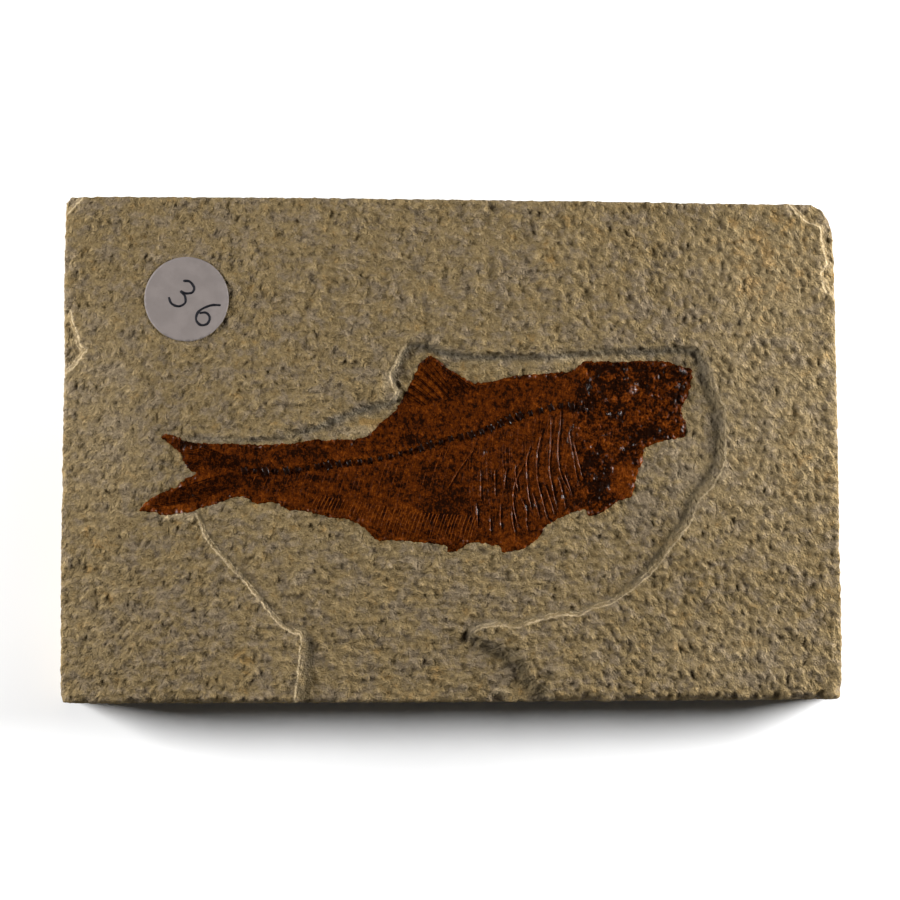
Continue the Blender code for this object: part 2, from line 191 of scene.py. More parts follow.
SLAB_OUTLINE = np.array([
    (-86.6, 55.6), (-85.7, 56.9), (-79.0, 57.1), (-34.0, 56.8), (15.5, 56.2), (56.0, 55.6), (81.2, 55.3),
    (83.5, 53.8), (85.0, 51.6), (85.7, 49.3), (86.2, 42.8), (86.5, 27.1), (87.1, 0.1), (87.5, -24.7),
    (87.9, -42.7), (87.8, -55.7), (87.1, -56.1), (56.0, -56.4), (0.0, -56.8), (-34.0, -56.9), (-65.5, -57.0),
    (-80.1, -57.1), (-87.5, -56.9), (-87.9, -55.3), (-87.8, -42.7), (-87.8, -24.7), (-87.5, -11.2),
    (-87.3, 4.6), (-87.0, 18.1), (-87.1, 31.6), (-86.9, 42.8), (-86.7, 52.9),
])

# x, y, width of the slope, tool bruising and pale crest, which also sets a painted highlight and painted shade.
RIGHT_LIP = smooth([
    (-66.5, 4.8, 1.1, 0.2, 0.0), (-59.9, 3.5, 1.1, 0.5, 0.0), (-53.1, 3.2, 1.1, 0.6, 0.0),
    (-46.4, 3.0, 1.2, 0.6, 0.1), (-39.6, 3.4, 1.4, 0.5, 0.1), (-34.0, 4.9, 1.6, 0.8, 0.0),
    (-29.5, 6.4, 1.7, 1.0, 0.0), (-23.9, 8.8, 1.8, 1.0, 0.0), (-18.2, 10.6, 1.7, 1.0, 0.0),
    (-13.9, 11.4, 1.4, 0.9, 0.4), (-12.6, 12.9, 1.3, 0.6, 0.8), (-13.3, 14.8, 1.2, 0.7, 0.9),
    (-13.7, 17.2, 1.2, 0.8, 1.0), (-12.4, 19.9, 1.2, 0.8, 0.9), (-11.0, 22.6, 1.3, 0.8, 0.6),
    (-8.9, 24.2, 1.4, 0.9, 0.2), (-6.0, 24.2, 1.6, 1.0, 0.1), (-1.4, 23.0, 1.8, 1.0, 0.1),
    (4.3, 21.9, 1.6, 1.0, 0.0), (13.3, 21.7, 1.4, 0.9, 0.0), (22.3, 21.9, 1.4, 0.8, 0.0),
    (33.5, 22.9, 1.7, 0.8, 0.1), (44.8, 23.2, 1.7, 0.9, 0.1), (53.8, 23.5, 1.9, 1.0, 0.2),
    (56.7, 21.9, 2.2, 0.9, 0.3), (58.1, 19.0, 2.6, 0.7, 0.5), (59.2, 15.8, 2.9, 0.5, 0.7),
    (60.3, 12.2, 3.2, 0.4, 0.8), (61.5, 9.3, 3.2, 0.4, 0.9), (61.8, 5.7, 3.2, 0.4, 0.9),
    (61.8, 0.1, 3.2, 0.35, 1.0), (61.4, -3.5, 3.2, 0.3, 1.0), (60.2, -5.9, 3.1, 0.3, 1.0),
    (58.9, -8.0, 3.0, 0.3, 1.0), (55.7, -11.8, 2.9, 0.3, 1.0), (54.0, -16.2, 2.7, 0.3, 1.0),
    (50.2, -21.2, 2.5, 0.2, 1.0), (46.0, -26.7, 2.2, 0.2, 1.0), (42.5, -30.0, 1.9, 0.1, 0.9),
    (39.0, -32.7, 1.7, 0.0, 0.9), (35.9, -34.5, 1.5, 0.0, 0.8), (31.3, -35.9, 1.5, 0.0, 0.8),
    (28.9, -37.2, 1.4, 0.0, 0.8), (24.5, -37.2, 1.4, 0.0, 0.9), (18.9, -38.6, 1.4, 0.0, 0.9),
    (14.4, -40.0, 1.4, 0.0, 0.9), (11.0, -39.4, 1.4, 0.1, 0.9), (7.2, -40.0, 1.6, 0.2, 0.8),
    (5.2, -41.3, 2.0, 0.3, 0.4), (8.0, -42.6, 3.0, 0.3, 0.3), (11.0, -43.6, 3.2, 0.3, 0.3),
    (14.6, -45.6, 3.4, 0.3, 0.3), (17.2, -48.0, 3.2, 0.3, 0.3), (18.2, -50.8, 3.0, 0.3, 0.3),
    (20.6, -53.0, 3.0, 0.3, 0.4), (23.0, -55.2, 2.8, 0.3, 0.4), (23.6, -58.5, 2.6, 0.3, 0.4),
], 0.5)
LEFT_LIP = smooth([
    (-35.3, -58.5, 3.6, 0.1, 0.9), (-34.9, -54.0, 3.6, 0.1, 1.0), (-34.3, -48.0, 3.3, 0.1, 1.0),
    (-33.9, -42.0, 2.4, 0.1, 1.0), (-36.0, -41.0, 1.3, 0.1, 1.0), (-38.7, -39.1, 1.2, 0.1, 1.0),
    (-42.5, -34.6, 1.3, 0.1, 1.0), (-46.8, -29.4, 1.3, 0.1, 1.0), (-51.8, -24.0, 1.4, 0.1, 1.0),
    (-55.6, -19.1, 1.4, 0.1, 1.0), (-57.3, -14.3, 1.2, 0.1, 0.8),
], 0.5)
RECESS = np.vstack([RIGHT_LIP[:, :2], LEFT_LIP[:, :2], [(-72.0, -14.0), (-72.0, 5.0)]])

# Each break at the edge: its lip, the corner beyond it, its width and its drop.
BROKEN_CORNER = (np.array([(90.0, 33.8), (86.4, 33.8), (83.9, 36.7), (83.2, 39.4), (84.6, 41.9), (83.7, 45.3),
                           (83.0, 50.2), (79.4, 51.7), (77.9, 53.2), (73.1, 58.5)]), [(90.0, 58.5)], 0.7, 0.9)
LEFT_CHIP = (np.array([(-90.0, 31.8), (-85.7, 31.8), (-84.2, 26.2), (-83.2, 23.2), (-81.7, 23.0), (-85.0, 18.5),
                       (-90.0, 15.0)]), [(-90.0, 20.0)], 0.9, 1.3)
UPPER_LEFT_CHIP = (np.array([(-82.4, 58.5), (-83.0, 56.5), (-86.2, 53.2), (-90.0, 49.5)]), [(-90.0, 58.5)],
                   0.9, 1.1)
CHIPS = [BROKEN_CORNER, LEFT_CHIP, UPPER_LEFT_CHIP]
print("lip of the recess, mm:", round(reaches(RIGHT_LIP)[-1] + reaches(LEFT_LIP)[-1]))

# %% [markdown]
# Small nicks along the rim came from knocks and from the saw. Each is a shallow round scoop at a place on the rim.

# %% Nicks in the rim
STICKER_CENTRE = np.array((-59.5, 34.0))
STICKER_RADIUS = 9.5

LOWER_NICKS = [(-67.7, 0.9), (-64.4, 0.8), (-61.0, 1.1), (-57.6, 0.8), (-54.2, 0.9), (-49.7, 0.7), (-39.4, 1.2),
               (-24.0, 0.6), (10.8, 2.0), (24.4, 0.9), (27.7, 1.1), (30.7, 2.1), (39.8, 1.5), (58.0, 1.2),
               (61.4, 1.0), (71.0, 1.3), (78.3, 1.5), (82.0, 1.1)]
LEFT_NICKS = [(44.0, 0.7), (41.0, 1.6), (38.0, 0.6), (13.4, 1.3), (10.5, 0.9), (-5.5, 0.9), (-9.0, 1.1),
              (-25.0, 1.4), (-29.5, 1.3), (-36.0, 0.8)]
RIGHT_NICKS = [(29.5, 0.9), (25.0, 0.7), (21.5, 1.0), (12.0, 0.6), (2.0, 0.8), (-8.0, 0.6), (-26.0, 1.0),
               (-31.0, 0.8), (-47.0, 0.7)]
UPPER_NICKS = [(-76.0, 0.6), (-52.0, 0.5), (-21.0, 0.6), (19.0, 0.5), (44.0, 0.7), (63.0, 0.8)]


def rim_y(x):
    """The lower edge of the slab at x."""
    return np.interp(x, [-87.5, 0.0, 87.1], [-57.0, -56.8, -56.1])


# The other three edges are nearly straight, so a short sum gives each.
NICKS = [(x, rim_y(x), radius) for x, radius in LOWER_NICKS]
NICKS += [(-87.0 - 0.008 * (40.0 - y), y, radius) for y, radius in LEFT_NICKS]
NICKS += [(86.9 + 0.012 * -y, y, radius) for y, radius in RIGHT_NICKS]
NICKS += [(x, 56.4 - 0.01 * x, radius) for x, radius in UPPER_NICKS]
print(len(NICKS), "nicks")

# %% [markdown]
# ## The height of the stone
#
# One function gives the height of the bare stone anywhere. It also returns how new the break is, how bruised the
# stone is and where painted shade and highlights go, because the colour here follows the shape: new breaks are
# pale, with a painted highlight on their crests, tool marks are grey, and pits, breaks and the slopes below the lips
# get painted shade.

# %% Stone relief
def warped(points, size, reach, seed):
    """Points moved about at random, so that a pattern read there looks torn instead of round."""
    return points + reach * np.stack([lumps(points, size, seed), lumps(points, size, seed + 1.0)], axis=1)


def patches(points, spots, tear):
    """Adds up soft torn patches. Each spot is x, y, half its length, half its height and its strength."""
    torn = warped(warped(points, 4.0, tear, 131.0), 1.6, 0.5 * tear, 133.0)
    total = np.zeros(len(points))
    for x, y, long, high, strength in spots:
        total += strength * (1.0 - ease(np.hypot((torn[:, 0] - x) / long, (torn[:, 1] - y) / high), 0.3, 1.25))
    return total


# x, y, half its length, half its height and how strong, for painted shade in the breaks and for smooth spots.
PAINTED_SHADE_SPOTS = [
    (-31.8, -45.2, 0.9, 3.6, 1.0), (-33.0, -49.5, 0.6, 2.0, 0.6), (-33.8, -54.2, 0.8, 2.2, 1.0),
    (5.6, -41.9, 1.4, 1.2, 1.0), (7.8, -44.2, 1.5, 1.8, 1.0), (10.8, -46.0, 2.0, 1.1, 0.9),
    (14.0, -45.2, 1.6, 1.2, 0.8), (16.2, -48.9, 1.4, 2.2, 1.0), (17.6, -51.4, 1.4, 1.5, 0.9),
    (20.6, -53.6, 2.0, 1.4, 1.0), (21.8, -50.4, 1.4, 1.6, 0.6), (12.4, -48.6, 1.6, 1.0, 0.4),
    (-46.9, -28.2, 0.5, 1.4, 0.5), (-41.6, -34.0, 0.5, 1.2, 0.5),
]
SMOOTH_SPOTS = [(-5.6, -40.6, 3.2, 1.2, 1.0), (10.4, -41.6, 1.2, 1.6, 1.0)]

# How the torn strokes of the split lie: the way they run in degrees, the x round which they run so, how long and how
# high they are, and the stretch and the size in mm of the fine strokes in their finish.
STROKES = [(46.0, -68.0, 1.4, 0.88, 1.5, 0.80), (6.0, -8.0, 1.5, 0.98, 1.25, 1.0), (-54.0, 62.0, 1.4, 1.0, 1.5, 0.78)]
STROKE_BLEND = 34.0
KNOB_SIZE, KNOB_SHARE = 1.15, 0.52
CREST_SIZE, CREST_SHARE = 1.25, 0.48
CREST_TOP, CREST_FOOT = 0.40, 0.62
LOW_STROKES, HIGH_STROKES = 0.45, 1.3


def turned(points, degrees):
    """Points read along and across a direction."""
    along = np.array((math.cos(math.radians(degrees)), math.sin(math.radians(degrees))))
    return np.stack([points @ along, points @ np.array((-along[1], along[0]))], axis=1)


def rough_stone(points):
    """The torn surface of split limestone, in mm: short strokes with crisp crests on broader swells."""
    torn = warped(points, 1.7, 0.35, 46.0)
    total = np.zeros(len(points))
    power = np.zeros(len(points))
    for number, (degrees, centre, long, high, _, _) in enumerate(STROKES):
        part = np.exp(-((points[:, 0] - centre) / STROKE_BLEND) ** 2)
        shown = part > 0.04
        along = turned(torn[shown], degrees)
        knobs = lumps(along, KNOB_SIZE, 42.0 + number, stretch=long)
        folds = np.abs(lumps(along, CREST_SIZE, 52.0 + number, stretch=long))
        crests = CREST_TOP - np.minimum(folds, CREST_FOOT)
        total[shown] += part[shown] * high * (KNOB_SHARE * knobs + CREST_SHARE * crests)
        power += part**2
    strokes = total / np.sqrt(power)
    strokes *= np.where(strokes < 0.0, LOW_STROKES, HIGH_STROKES)
    return strokes + 0.30 * lumps(points, 3.2, 41.0, stretch=1.15) + 0.10 * lumps(points, 0.8, 45.0)


CREST_RISE = 0.16
NICK_SCOOP = 0.55
STROKE_HEIGHT = 0.9
PIT_DEPTH = 0.20
TOOL_MARKS = 0.30
LIP_REACH = 3.0


def lip_reading(points):
    """How far the nearest lip is, in mm and in widths of its slope, and its tool marks and crest."""
    away, slope = np.full((2, len(points)), FAR)
    bruised, crest = np.zeros((2, len(points)))
    for lip in (RIGHT_LIP, LEFT_LIP):
        off, reach = nearest(points, lip)
        width, tools, pale = (np.interp(reach, reaches(lip), lip[:, column]) for column in (2, 3, 4))
        closer = off < away
        slope[closer] = (off / width)[closer]
        bruised[closer] = tools[closer]
        crest[closer] = pale[closer]
        away = np.minimum(away, off)
    return away, slope, bruised, crest


def stone_relief(points, fine=1.0):
    """Height of the stone's top in mm, and what its finish needs to know at each point.

    That is how new the nearest break is, with a painted highlight on its crest, how bruised the stone is, how much
    painted shade falls in its pits, its breaks and below its lips, and how much painted highlight its crests get,
    each from 0 to 1, and how far the break is in mm, with its low side positive.
    """
    x, y = points.T
    wandering = warped(warped(points, 2.3, 0.13, 21.0), 0.9, 0.08, 23.0)
    height = STONE_TOP + 0.12 * lumps(points, 14.0, 3.0) + 0.12 * lumps(points, 6.0, 4.0)
    inside = within(wandering, RECESS)
    away, slope, bruised, crest = lip_reading(wandering)
    depth = RECESS_DEPTH * ease(x, *RECESS_FADES_AT) * (1.0 + 0.35 * ease(-y, 35.0, 55.0))
    foot = 0.16 * np.exp(-((slope - 1.05) / 0.4) ** 2)
    height -= np.where(inside, depth * (ease(slope, -0.35, 1.0) + foot), 0.0)
    # Painted shade below a clean pale crest: a dark band where the lip shades the slope, and a lighter darkening over
    # the upper slope.
    shaded_slope = np.clip(1.4 * crest, 0.0, 1.0) * inside
    shade = shaded_slope * np.exp(-((slope - 0.72) / 0.22) ** 2) * (0.75 + 0.6 * lumps(points, 2.2, 33.0))
    shade += 0.26 * shaded_slope * (1.0 - ease(slope, 0.6, 1.0))
    crest *= 0.6 + 0.4 * ease(lumps(points, 3.0, 31.0), -0.55, 0.35)
    height += CREST_RISE * crest * np.exp(-(away / 0.30) ** 2)
    band = np.where(inside, np.exp(-((slope - 0.6) / 0.55) ** 2), 0.4 * np.exp(-away / 0.4))
    bruised = bruised * band
    # The pale line of a crest is the pale stone of a new break and also a painted highlight where the crest catches the
    # light; chips count as wholly new stone.
    fresh_and_highlit = crest
    lip_gap = np.where(inside, away, -away)
    for lip, corner, width, drop in CHIPS:
        off = nearest(wandering, lip)[0]
        broken = within(wandering, np.vstack([lip, corner]))
        height -= np.where(broken, drop * ease(off / width, -0.3, 1.0), 0.0)
        closer = off < away
        away[closer] = off[closer]
        lip_gap[closer] = np.where(broken, off, -off)[closer]
        fresh_and_highlit[closer] = 1.0
    for nick_x, nick_y, radius in NICKS:
        off = np.hypot(wandering[:, 0] - nick_x, wandering[:, 1] - nick_y) / radius
        height -= NICK_SCOOP * radius * np.sqrt(np.clip(1.0 - off**2, 0.0, 1.0))
    strokes = lumps(np.stack([x + 0.3 * y, y], axis=1), 0.75, 51.0, stretch=0.8)
    near_sticker = 1.0 - ease(np.hypot(*(points - STICKER_CENTRE).T), STICKER_RADIUS - 0.5, STICKER_RADIUS + 1.5)
    rough = rough_stone(points)
    calm = 1.0 - (0.25 + 0.5 * shaded_slope) * band * inside
    calm *= 1.0 - 0.9 * patches(points, SMOOTH_SPOTS, 0.3)
    pits = dimples(points, 5.5, 5.0, share=0.09)
    torn = STROKE_HEIGHT * calm * rough - PIT_DEPTH * pits + TOOL_MARKS * bruised * strokes
    height += fine * torn * (1.0 - 0.85 * near_sticker)
    height += near_sticker * (STONE_TOP - height)
    # Painted shade: the pits, the band below clean crests and the listed spots in the breaks are painted dark.
    painted_shade = np.clip(0.45 * pits + shade + patches(points, PAINTED_SHADE_SPOTS, 0.5), 0.0, 1.0)
    # Painted highlight: the high crests of the torn strokes are painted paler.
    painted_crest_highlight = ease(rough, 0.30, 0.85) * (1.0 - near_sticker) * (1.0 - bruised)
    return height, {
        "fresh_and_highlit": fresh_and_highlit, "bruised": np.clip(bruised, 0.0, 1.0), "painted_shade": painted_shade * (1.0 - near_sticker),
        "lip_gap": np.clip(lip_gap, -LIP_REACH, LIP_REACH), "painted_crest_highlight": painted_crest_highlight,
    }


# %% [markdown]
# ## From heights to a closed mesh
#
# A plain grid would blur the sharp lips. A constrained Delaunay triangulation takes scattered points and also keeps
# every line it is given as edges, so each lip becomes a crisp crease. The border of the result is then walled down
# to an underside, which closes the solid.

# %% Scatter, triangulate and wall
def scatter(outline, spacing, seed):
    """Staggered points over an outline, each pushed a little off its place."""
    low, high = outline[:, :2].min(axis=0), outline[:, :2].max(axis=0)
    rows = np.arange(low[1], high[1], 0.866 * spacing)
    columns = np.arange(low[0], high[0], spacing)
    x, y = np.meshgrid(columns, rows)
    x[1::2] += 0.5 * spacing
    push = np.random.default_rng(seed).uniform(-0.22, 0.22, (x.size, 2)) * spacing
    points = np.stack([x.ravel(), y.ravel()], axis=1) + push
    return points[within(points, outline)]


def triangulate(outline, lines, fill):
    """Triangles over a closed outline, with its border and every line kept as edges."""
    count = len(outline)
    points = [outline[:, :2]]
    edges = [(index, (index + 1) % count) for index in range(count)]
    for line in lines:
        edges += [(count + index, count + index + 1) for index in range(len(line) - 1)]
        points.append(line[:, :2])
        count += len(line)
    flat = [Vector(point) for point in np.vstack(points + [fill])]
    found, _, faces, _, _, _ = delaunay_2d_cdt(flat, edges, [], 0, 1e-5)
    found = np.array([point[:] for point in found])
    faces = np.array([face[:] for face in faces])
    faces = faces[within(found[faces].mean(axis=1), outline)]
    used, faces = np.unique(faces, return_inverse=True)
    return found[used], faces.reshape(-1, 3)


def border(faces):
    """The closed border of the triangles, in order."""
    pairs = np.vstack([faces[:, [0, 1]], faces[:, [1, 2]], faces[:, [2, 0]]])
    ways = set(map(tuple, pairs.tolist()))
    after = {a: b for a, b in ways if (b, a) not in ways}
    ring = [min(after)]
    while after[ring[-1]] != ring[0]:
        ring.append(after[ring[-1]])
    return ring


def wall(upper, lower):
    """The faces between two rings of points, each ring given by the numbers of its points."""
    return np.column_stack([upper, lower, np.roll(lower, -1), np.roll(upper, -1)]).tolist()


def make_piece(name, points, faces, attributes=None):
    """A mesh object with points in mm and smooth faces.

    Each named attribute holds one value per point. Where it has too few, the last points get 0.
    """
    mesh = bpy.data.meshes.new(name)
    mesh.from_pydata((np.asarray(points) * MM).tolist(), [], faces)
    for label, values in (attributes or {}).items():
        layer = mesh.attributes.new(label, "FLOAT", "POINT")
        rest = np.zeros(len(points) - len(values))
        layer.data.foreach_set("value", np.concatenate([values, rest]).astype(np.float32))
    mesh.shade_smooth()
    piece = bpy.data.objects.new(name, mesh)
    bpy.context.scene.collection.objects.link(piece)
    print(name, len(mesh.polygons), "faces")
    return piece


def face_outwards(piece, weld=0.0):
    """Joins points closer than weld mm, and turns every face of a closed piece outwards."""
    shape = bmesh.new()
    shape.from_mesh(piece.data)
    if weld:
        bmesh.ops.remove_doubles(shape, verts=shape.verts, dist=weld * MM)
    bmesh.ops.recalc_face_normals(shape, faces=shape.faces)
    print(piece.name, "open edges:", sum(1 for edge in shape.edges if len(edge.link_faces) != 2))
    shape.to_mesh(piece.data)
    shape.free()
    piece.data.shade_smooth()


# %% [markdown]
# ## The fish's outline
#
# The outline was drawn corner by corner: the forked tail, the tall dorsal fin, the blunt head, the deep belly.
# A soft curve through the corners keeps it from looking cut with scissors, and a little noise frays it.

# %% Fish lines
TAIL_AND_BACK = [
    (-65.2, 3.0), (-64.1, 3.7), (-61.4, 3.0), (-59.6, 1.9), (-53.1, 1.5), (-43.4, 1.3), (-36.2, 1.5),
    (-29.9, 2.3), (-20.9, 2.6), (-17.8, 4.1), (-15.3, 6.6), (-12.4, 9.1),
]
DORSAL_FIN = [
    (-10.6, 12.2), (-9.0, 15.4), (-7.4, 18.7), (-6.1, 20.3), (-4.7, 21.3), (-2.5, 19.9), (0.9, 17.4),
    (3.8, 15.9), (6.8, 15.0),
]
HEAD = [
    (11.0, 16.0), (16.7, 17.0), (22.3, 17.4), (27.0, 17.8), (28.8, 19.2), (31.1, 20.0), (38.0, 20.0),
    (44.8, 20.2), (48.8, 19.9), (51.5, 19.0), (54.2, 18.2), (53.9, 14.7), (53.3, 12.4), (52.0, 9.5),
    (52.2, 7.5), (53.0, 5.9), (52.3, 3.2), (49.3, 2.4), (46.1, 1.6), (43.6, 0.3), (43.2, -1.5),
    (41.9, -5.3), (41.2, -8.5), (40.3, -10.5), (37.1, -11.8), (34.9, -13.4), (31.3, -14.8), (30.2, -13.4),
]
BELLY_AND_ANAL_FIN = [
    (28.1, -13.7), (24.5, -15.4), (21.4, -17.0), (19.4, -20.0), (16.4, -22.1), (11.7, -22.9), (10.6, -21.5),
    (4.7, -20.8), (2.7, -22.0), (-0.5, -23.1), (-1.1, -21.5), (-5.9, -20.8), (-12.6, -20.2), (-16.7, -20.3),
    (-18.7, -18.2), (-22.7, -15.8), (-27.7, -15.0), (-32.9, -13.7), (-37.6, -13.0), (-39.4, -11.8),
    (-44.1, -11.9), (-46.1, -10.7), (-48.8, -10.6),
]
LOWER_TAIL_LOBE = [
    (-53.3, -12.1), (-56.9, -13.2), (-58.7, -13.9), (-64.8, -14.6), (-66.6, -13.9), (-69.5, -14.0),
    (-69.8, -13.0), (-67.7, -11.0), (-64.4, -9.3), (-61.4, -8.0), (-59.4, -6.2), (-57.1, -5.2),
    (-59.0, -4.4), (-60.1, -2.2), (-61.0, -0.4), (-63.2, 1.3),
]
# How large the frays of the edge are and how far they reach, in mm.
FRAY = [(1.6, 0.22), (0.8, 0.22), (0.45, 0.13)]
drawn = smooth(TAIL_AND_BACK + DORSAL_FIN + HEAD + BELLY_AND_ANAL_FIN + LOWER_TAIL_LOBE, 0.2, closed=True)
FISH_OUTLINE = drawn
for number, (size, reach) in enumerate(FRAY):
    FISH_OUTLINE = FISH_OUTLINE + (warped(drawn, size, reach, 61.0 + 2.0 * number) - drawn)
FISH_BORDER = closed(FISH_OUTLINE)

SPINE = smooth([
    (-48.5, -4.7), (-38.0, -4.7), (-30.6, -3.8), (-18.2, -2.3), (-10.3, -0.5), (-1.4, 2.1), (6.8, 4.1),
    (13.7, 7.1), (21.2, 9.2), (25.0, 10.0), (29.5, 9.6),
], 0.5)


def spine_at(x):
    """How high on the page the backbone runs at x."""
    return np.interp(x, SPINE[:, 0], SPINE[:, 1])


print("fish from end to end, mm:", round(np.ptp(FISH_OUTLINE[:, 0]), 1))

# %% [markdown]
# ## The slab
#
# The stone is one solid. Its top is fine near the lips and coarse where the fish hides it. The sides show the thin
# beds of the old lake floor as level bands, and the underside is flat, because the slab rests on it.

# %% Slab mesh
STONE_GRAIN = 0.487
UNDERSIDE_GRAIN = 6.0
RIM_STEP = 0.55
RIM_RAGGED = 0.13
# Under the fish, deeper in than this, only one point in so many is kept.
HIDDEN_FROM, HIDDEN_KEEPS = 1.2, 17
SIDE_ROWS = (0.35, 1.1, 2.0, 3.1, 4.3, 5.5, 6.8, 8.1, 9.4, 10.6, 11.8)


def slab_rim():
    """The slab's outline at a fine step, with the small raggedness of broken stone."""
    rim = []
    for start, end in zip(SLAB_OUTLINE, np.roll(SLAB_OUTLINE, -1, axis=0)):
        count = max(1, math.ceil(np.hypot(*(end - start)) / RIM_STEP))
        rim += [start + (end - start) * share for share in np.arange(count) / count]
    rim = np.array(rim)
    return rim + RIM_RAGGED * np.stack([lumps(rim, 2.1, 71.0) + lumps(rim, 0.8, 72.0),
                                        lumps(rim, 2.1, 73.0) + lumps(rim, 0.8, 74.0)], axis=1)


def slab_top():
    """Points and triangles of the top, seen from above."""
    rim = slab_rim()
    fill = scatter(rim, STONE_GRAIN, 8)
    hidden = within(fill, FISH_OUTLINE) & (nearest(fill, FISH_BORDER)[0] > HIDDEN_FROM)
    keep = ~hidden | (np.arange(len(fill)) % HIDDEN_KEEPS == 0)
    keep &= nearest(fill, closed(rim))[0] > 0.25
    rows = []
    for lip in (RIGHT_LIP, LEFT_LIP):
        keep &= nearest(fill, lip)[0] > 0.9
        run = np.gradient(lip[:, :2], axis=0)
        side = np.stack([-run[:, 1], run[:, 0]], axis=1) / np.hypot(*run.T)[:, None]
        rows += [lip[:, :2] + side * off for off in (-0.8, -0.5, -0.25, 0.25, 0.5, 0.8)]
    rows = np.vstack(rows)
    rows = rows[within(rows, rim)]
    return triangulate(rim, [RIGHT_LIP, LEFT_LIP], np.vstack([fill[keep], rows]))


def slab_sides(ring, inward):
    """Rows of points below the rim, each bed pushed in or out a little."""
    rows = []
    along = reaches(ring)
    for down in SIDE_ROWS + (SLAB_THICKNESS,):
        level = ring[:, 2] - down * ring[:, 2] / SLAB_THICKNESS
        bed = lumps(np.stack([0.12 * along, level], axis=1), 0.9, 81.0)
        face = np.stack([along, level], axis=1)
        broken = lumps(face, 3.0, 82.0) + 0.5 * lumps(face, 1.2, 83.0)
        push = ease(down, 0.0, 1.0) * (0.30 + 0.22 * bed + 0.20 * broken) + 0.25 * ease(down, 11.0, 13.0)
        side = ring[:, :2] + inward * push[:, None]
        rows.append(np.column_stack([side, level if down < SLAB_THICKNESS else np.zeros(len(ring))]))
    return rows


def inward_of(ring):
    """The level direction into the slab at each point of its rim."""
    run = np.roll(ring[:, :2], -3, axis=0) - np.roll(ring[:, :2], 3, axis=0)
    run /= np.hypot(*run.T)[:, None]
    return np.stack([-run[:, 1], run[:, 0]], axis=1)


# x, y, half its length, half its height and how strong. Positive is ochre, negative is lilac grey.
STAINS = [
    (70.0, 42.0, 13.0, 14.0, 0.9), (-19.0, 5.8, 7.0, 2.6, 0.8), (6.0, 19.0, 6.0, 1.8, 0.6),
    (-49.0, -48.0, 6.0, 5.0, 0.45), (-5.6, -40.6, 3.4, 1.3, -1.2), (-80.0, -25.0, 5.0, 12.0, 0.35),
    (30.0, 45.0, 16.0, 8.0, 0.3),
    (78.0, -5.0, 8.0, 16.0, 0.35), (55.0, -42.0, 14.0, 8.0, 0.25), (67.5, -51.5, 3.0, 2.0, -1.0),
    (72.0, -46.0, 2.4, 2.4, -1.0), (-76.0, 17.5, 4.5, 3.5, -0.9), (-5.0, -40.5, 3.6, 1.3, -1.0),
    (48.0, 30.0, 14.0, 5.0, -0.6), (50.0, 0.0, 7.0, 10.0, -0.7), (-60.0, -38.0, 12.0, 10.0, -0.35),
    (44.0, -14.0, 6.0, 8.0, -0.6), (-70.0, 5.0, 9.0, 6.0, -0.4), (12.0, 40.0, 8.0, 6.0, -0.35),
]
# Painted light, in the same five numbers: broad pale patches where the lights fall strongest, towards the left and
# right ends, and small pale strips, among them the lit wall below the lower tail lobe.
PAINTED_LIGHT_PATCHES = [
    (73.0, 10.0, 22.0, 40.0, 0.16), (-79.0, 8.0, 12.0, 28.0, 0.17), (-78.0, -38.0, 11.0, 18.0, 0.08),
    (66.0, -46.0, 24.0, 12.0, 0.13), (68.0, 42.0, 20.0, 14.0, 0.10), (54.0, -8.0, 6.0, 14.0, 0.12),
    (-61.4, -15.0, 5.4, 0.9, 0.7), (-19.0, 4.4, 6.5, 1.4, 0.45),
    (-14.6, 15.0, 1.0, 3.6, 0.5), (10.8, -54.6, 2.4, 1.1, 0.6), (28.0, 20.6, 12.0, 1.0, 0.3),
]
# x, and how wide the broken strip along the near edge is there.
CRUMBLED_EDGE = ((-88.0, -42.0, -28.0, 14.0, 26.0, 88.0), (1.1, 1.1, 0.35, 0.35, 1.35, 1.5))
CRUMBLED_STEEPNESS = 1.5
RIM_WEAR, RIM_WORN_WIDTH = 0.28, 0.7

flat, faces = slab_top()
height, finish = stone_relief(flat)
fish_gap = nearest(flat, FISH_BORDER)[0]
halo = 1.1 * np.exp(-fish_gap / 0.45) * ease(lumps(flat, 3.0, 76.0), -0.1, 0.5)
finish["stain"] = patches(flat, STAINS, 2.0) + halo
finish["pale"] = patches(flat, PAINTED_LIGHT_PATCHES, 0.5)

# Under the fish the stone keeps out of the film's way.
height -= within(flat, FISH_OUTLINE) * ease(fish_gap, 0.05, 0.9)
ring = np.array(border(faces))
rim_gap = nearest(flat, closed(flat[ring]))[0]
height -= RIM_WEAR * np.clip(1.0 - rim_gap / RIM_WORN_WIDTH, 0.0, 1.0) ** 2 * (1.0 + lumps(flat, 1.7, 75.0))
# The near edge has crumbled: a steep broken strip, wide at both ends and narrow in the middle.
crumbled = np.interp(flat[:, 0], *CRUMBLED_EDGE) * (1.0 + 0.8 * lumps(flat, 2.4, 78.0))
height -= CRUMBLED_STEEPNESS * np.clip(crumbled - rim_gap, 0.0, 2.4) * ease(-flat[:, 1], 52.0, 54.0)
print("top of the slab:", len(flat), "points")

# %% [markdown]
# The walls hang from the rim of the top in rows, one below the other, down to the flat underside.

# %% Walls of the slab
top = np.column_stack([flat, height])
rows = slab_sides(top[ring], inward_of(top[ring]))
stone_points = np.vstack([top] + rows)
stone_faces = faces.tolist()
upper = ring
for number in range(len(rows)):
    lower = len(top) + number * len(ring) + np.arange(len(ring))
    stone_faces += wall(upper, lower)
    upper = lower
foot = rows[-1][:, :2]
under_flat, under_faces = triangulate(foot, [], scatter(foot, UNDERSIDE_GRAIN, 9))
print("underside", len(under_faces), "faces")

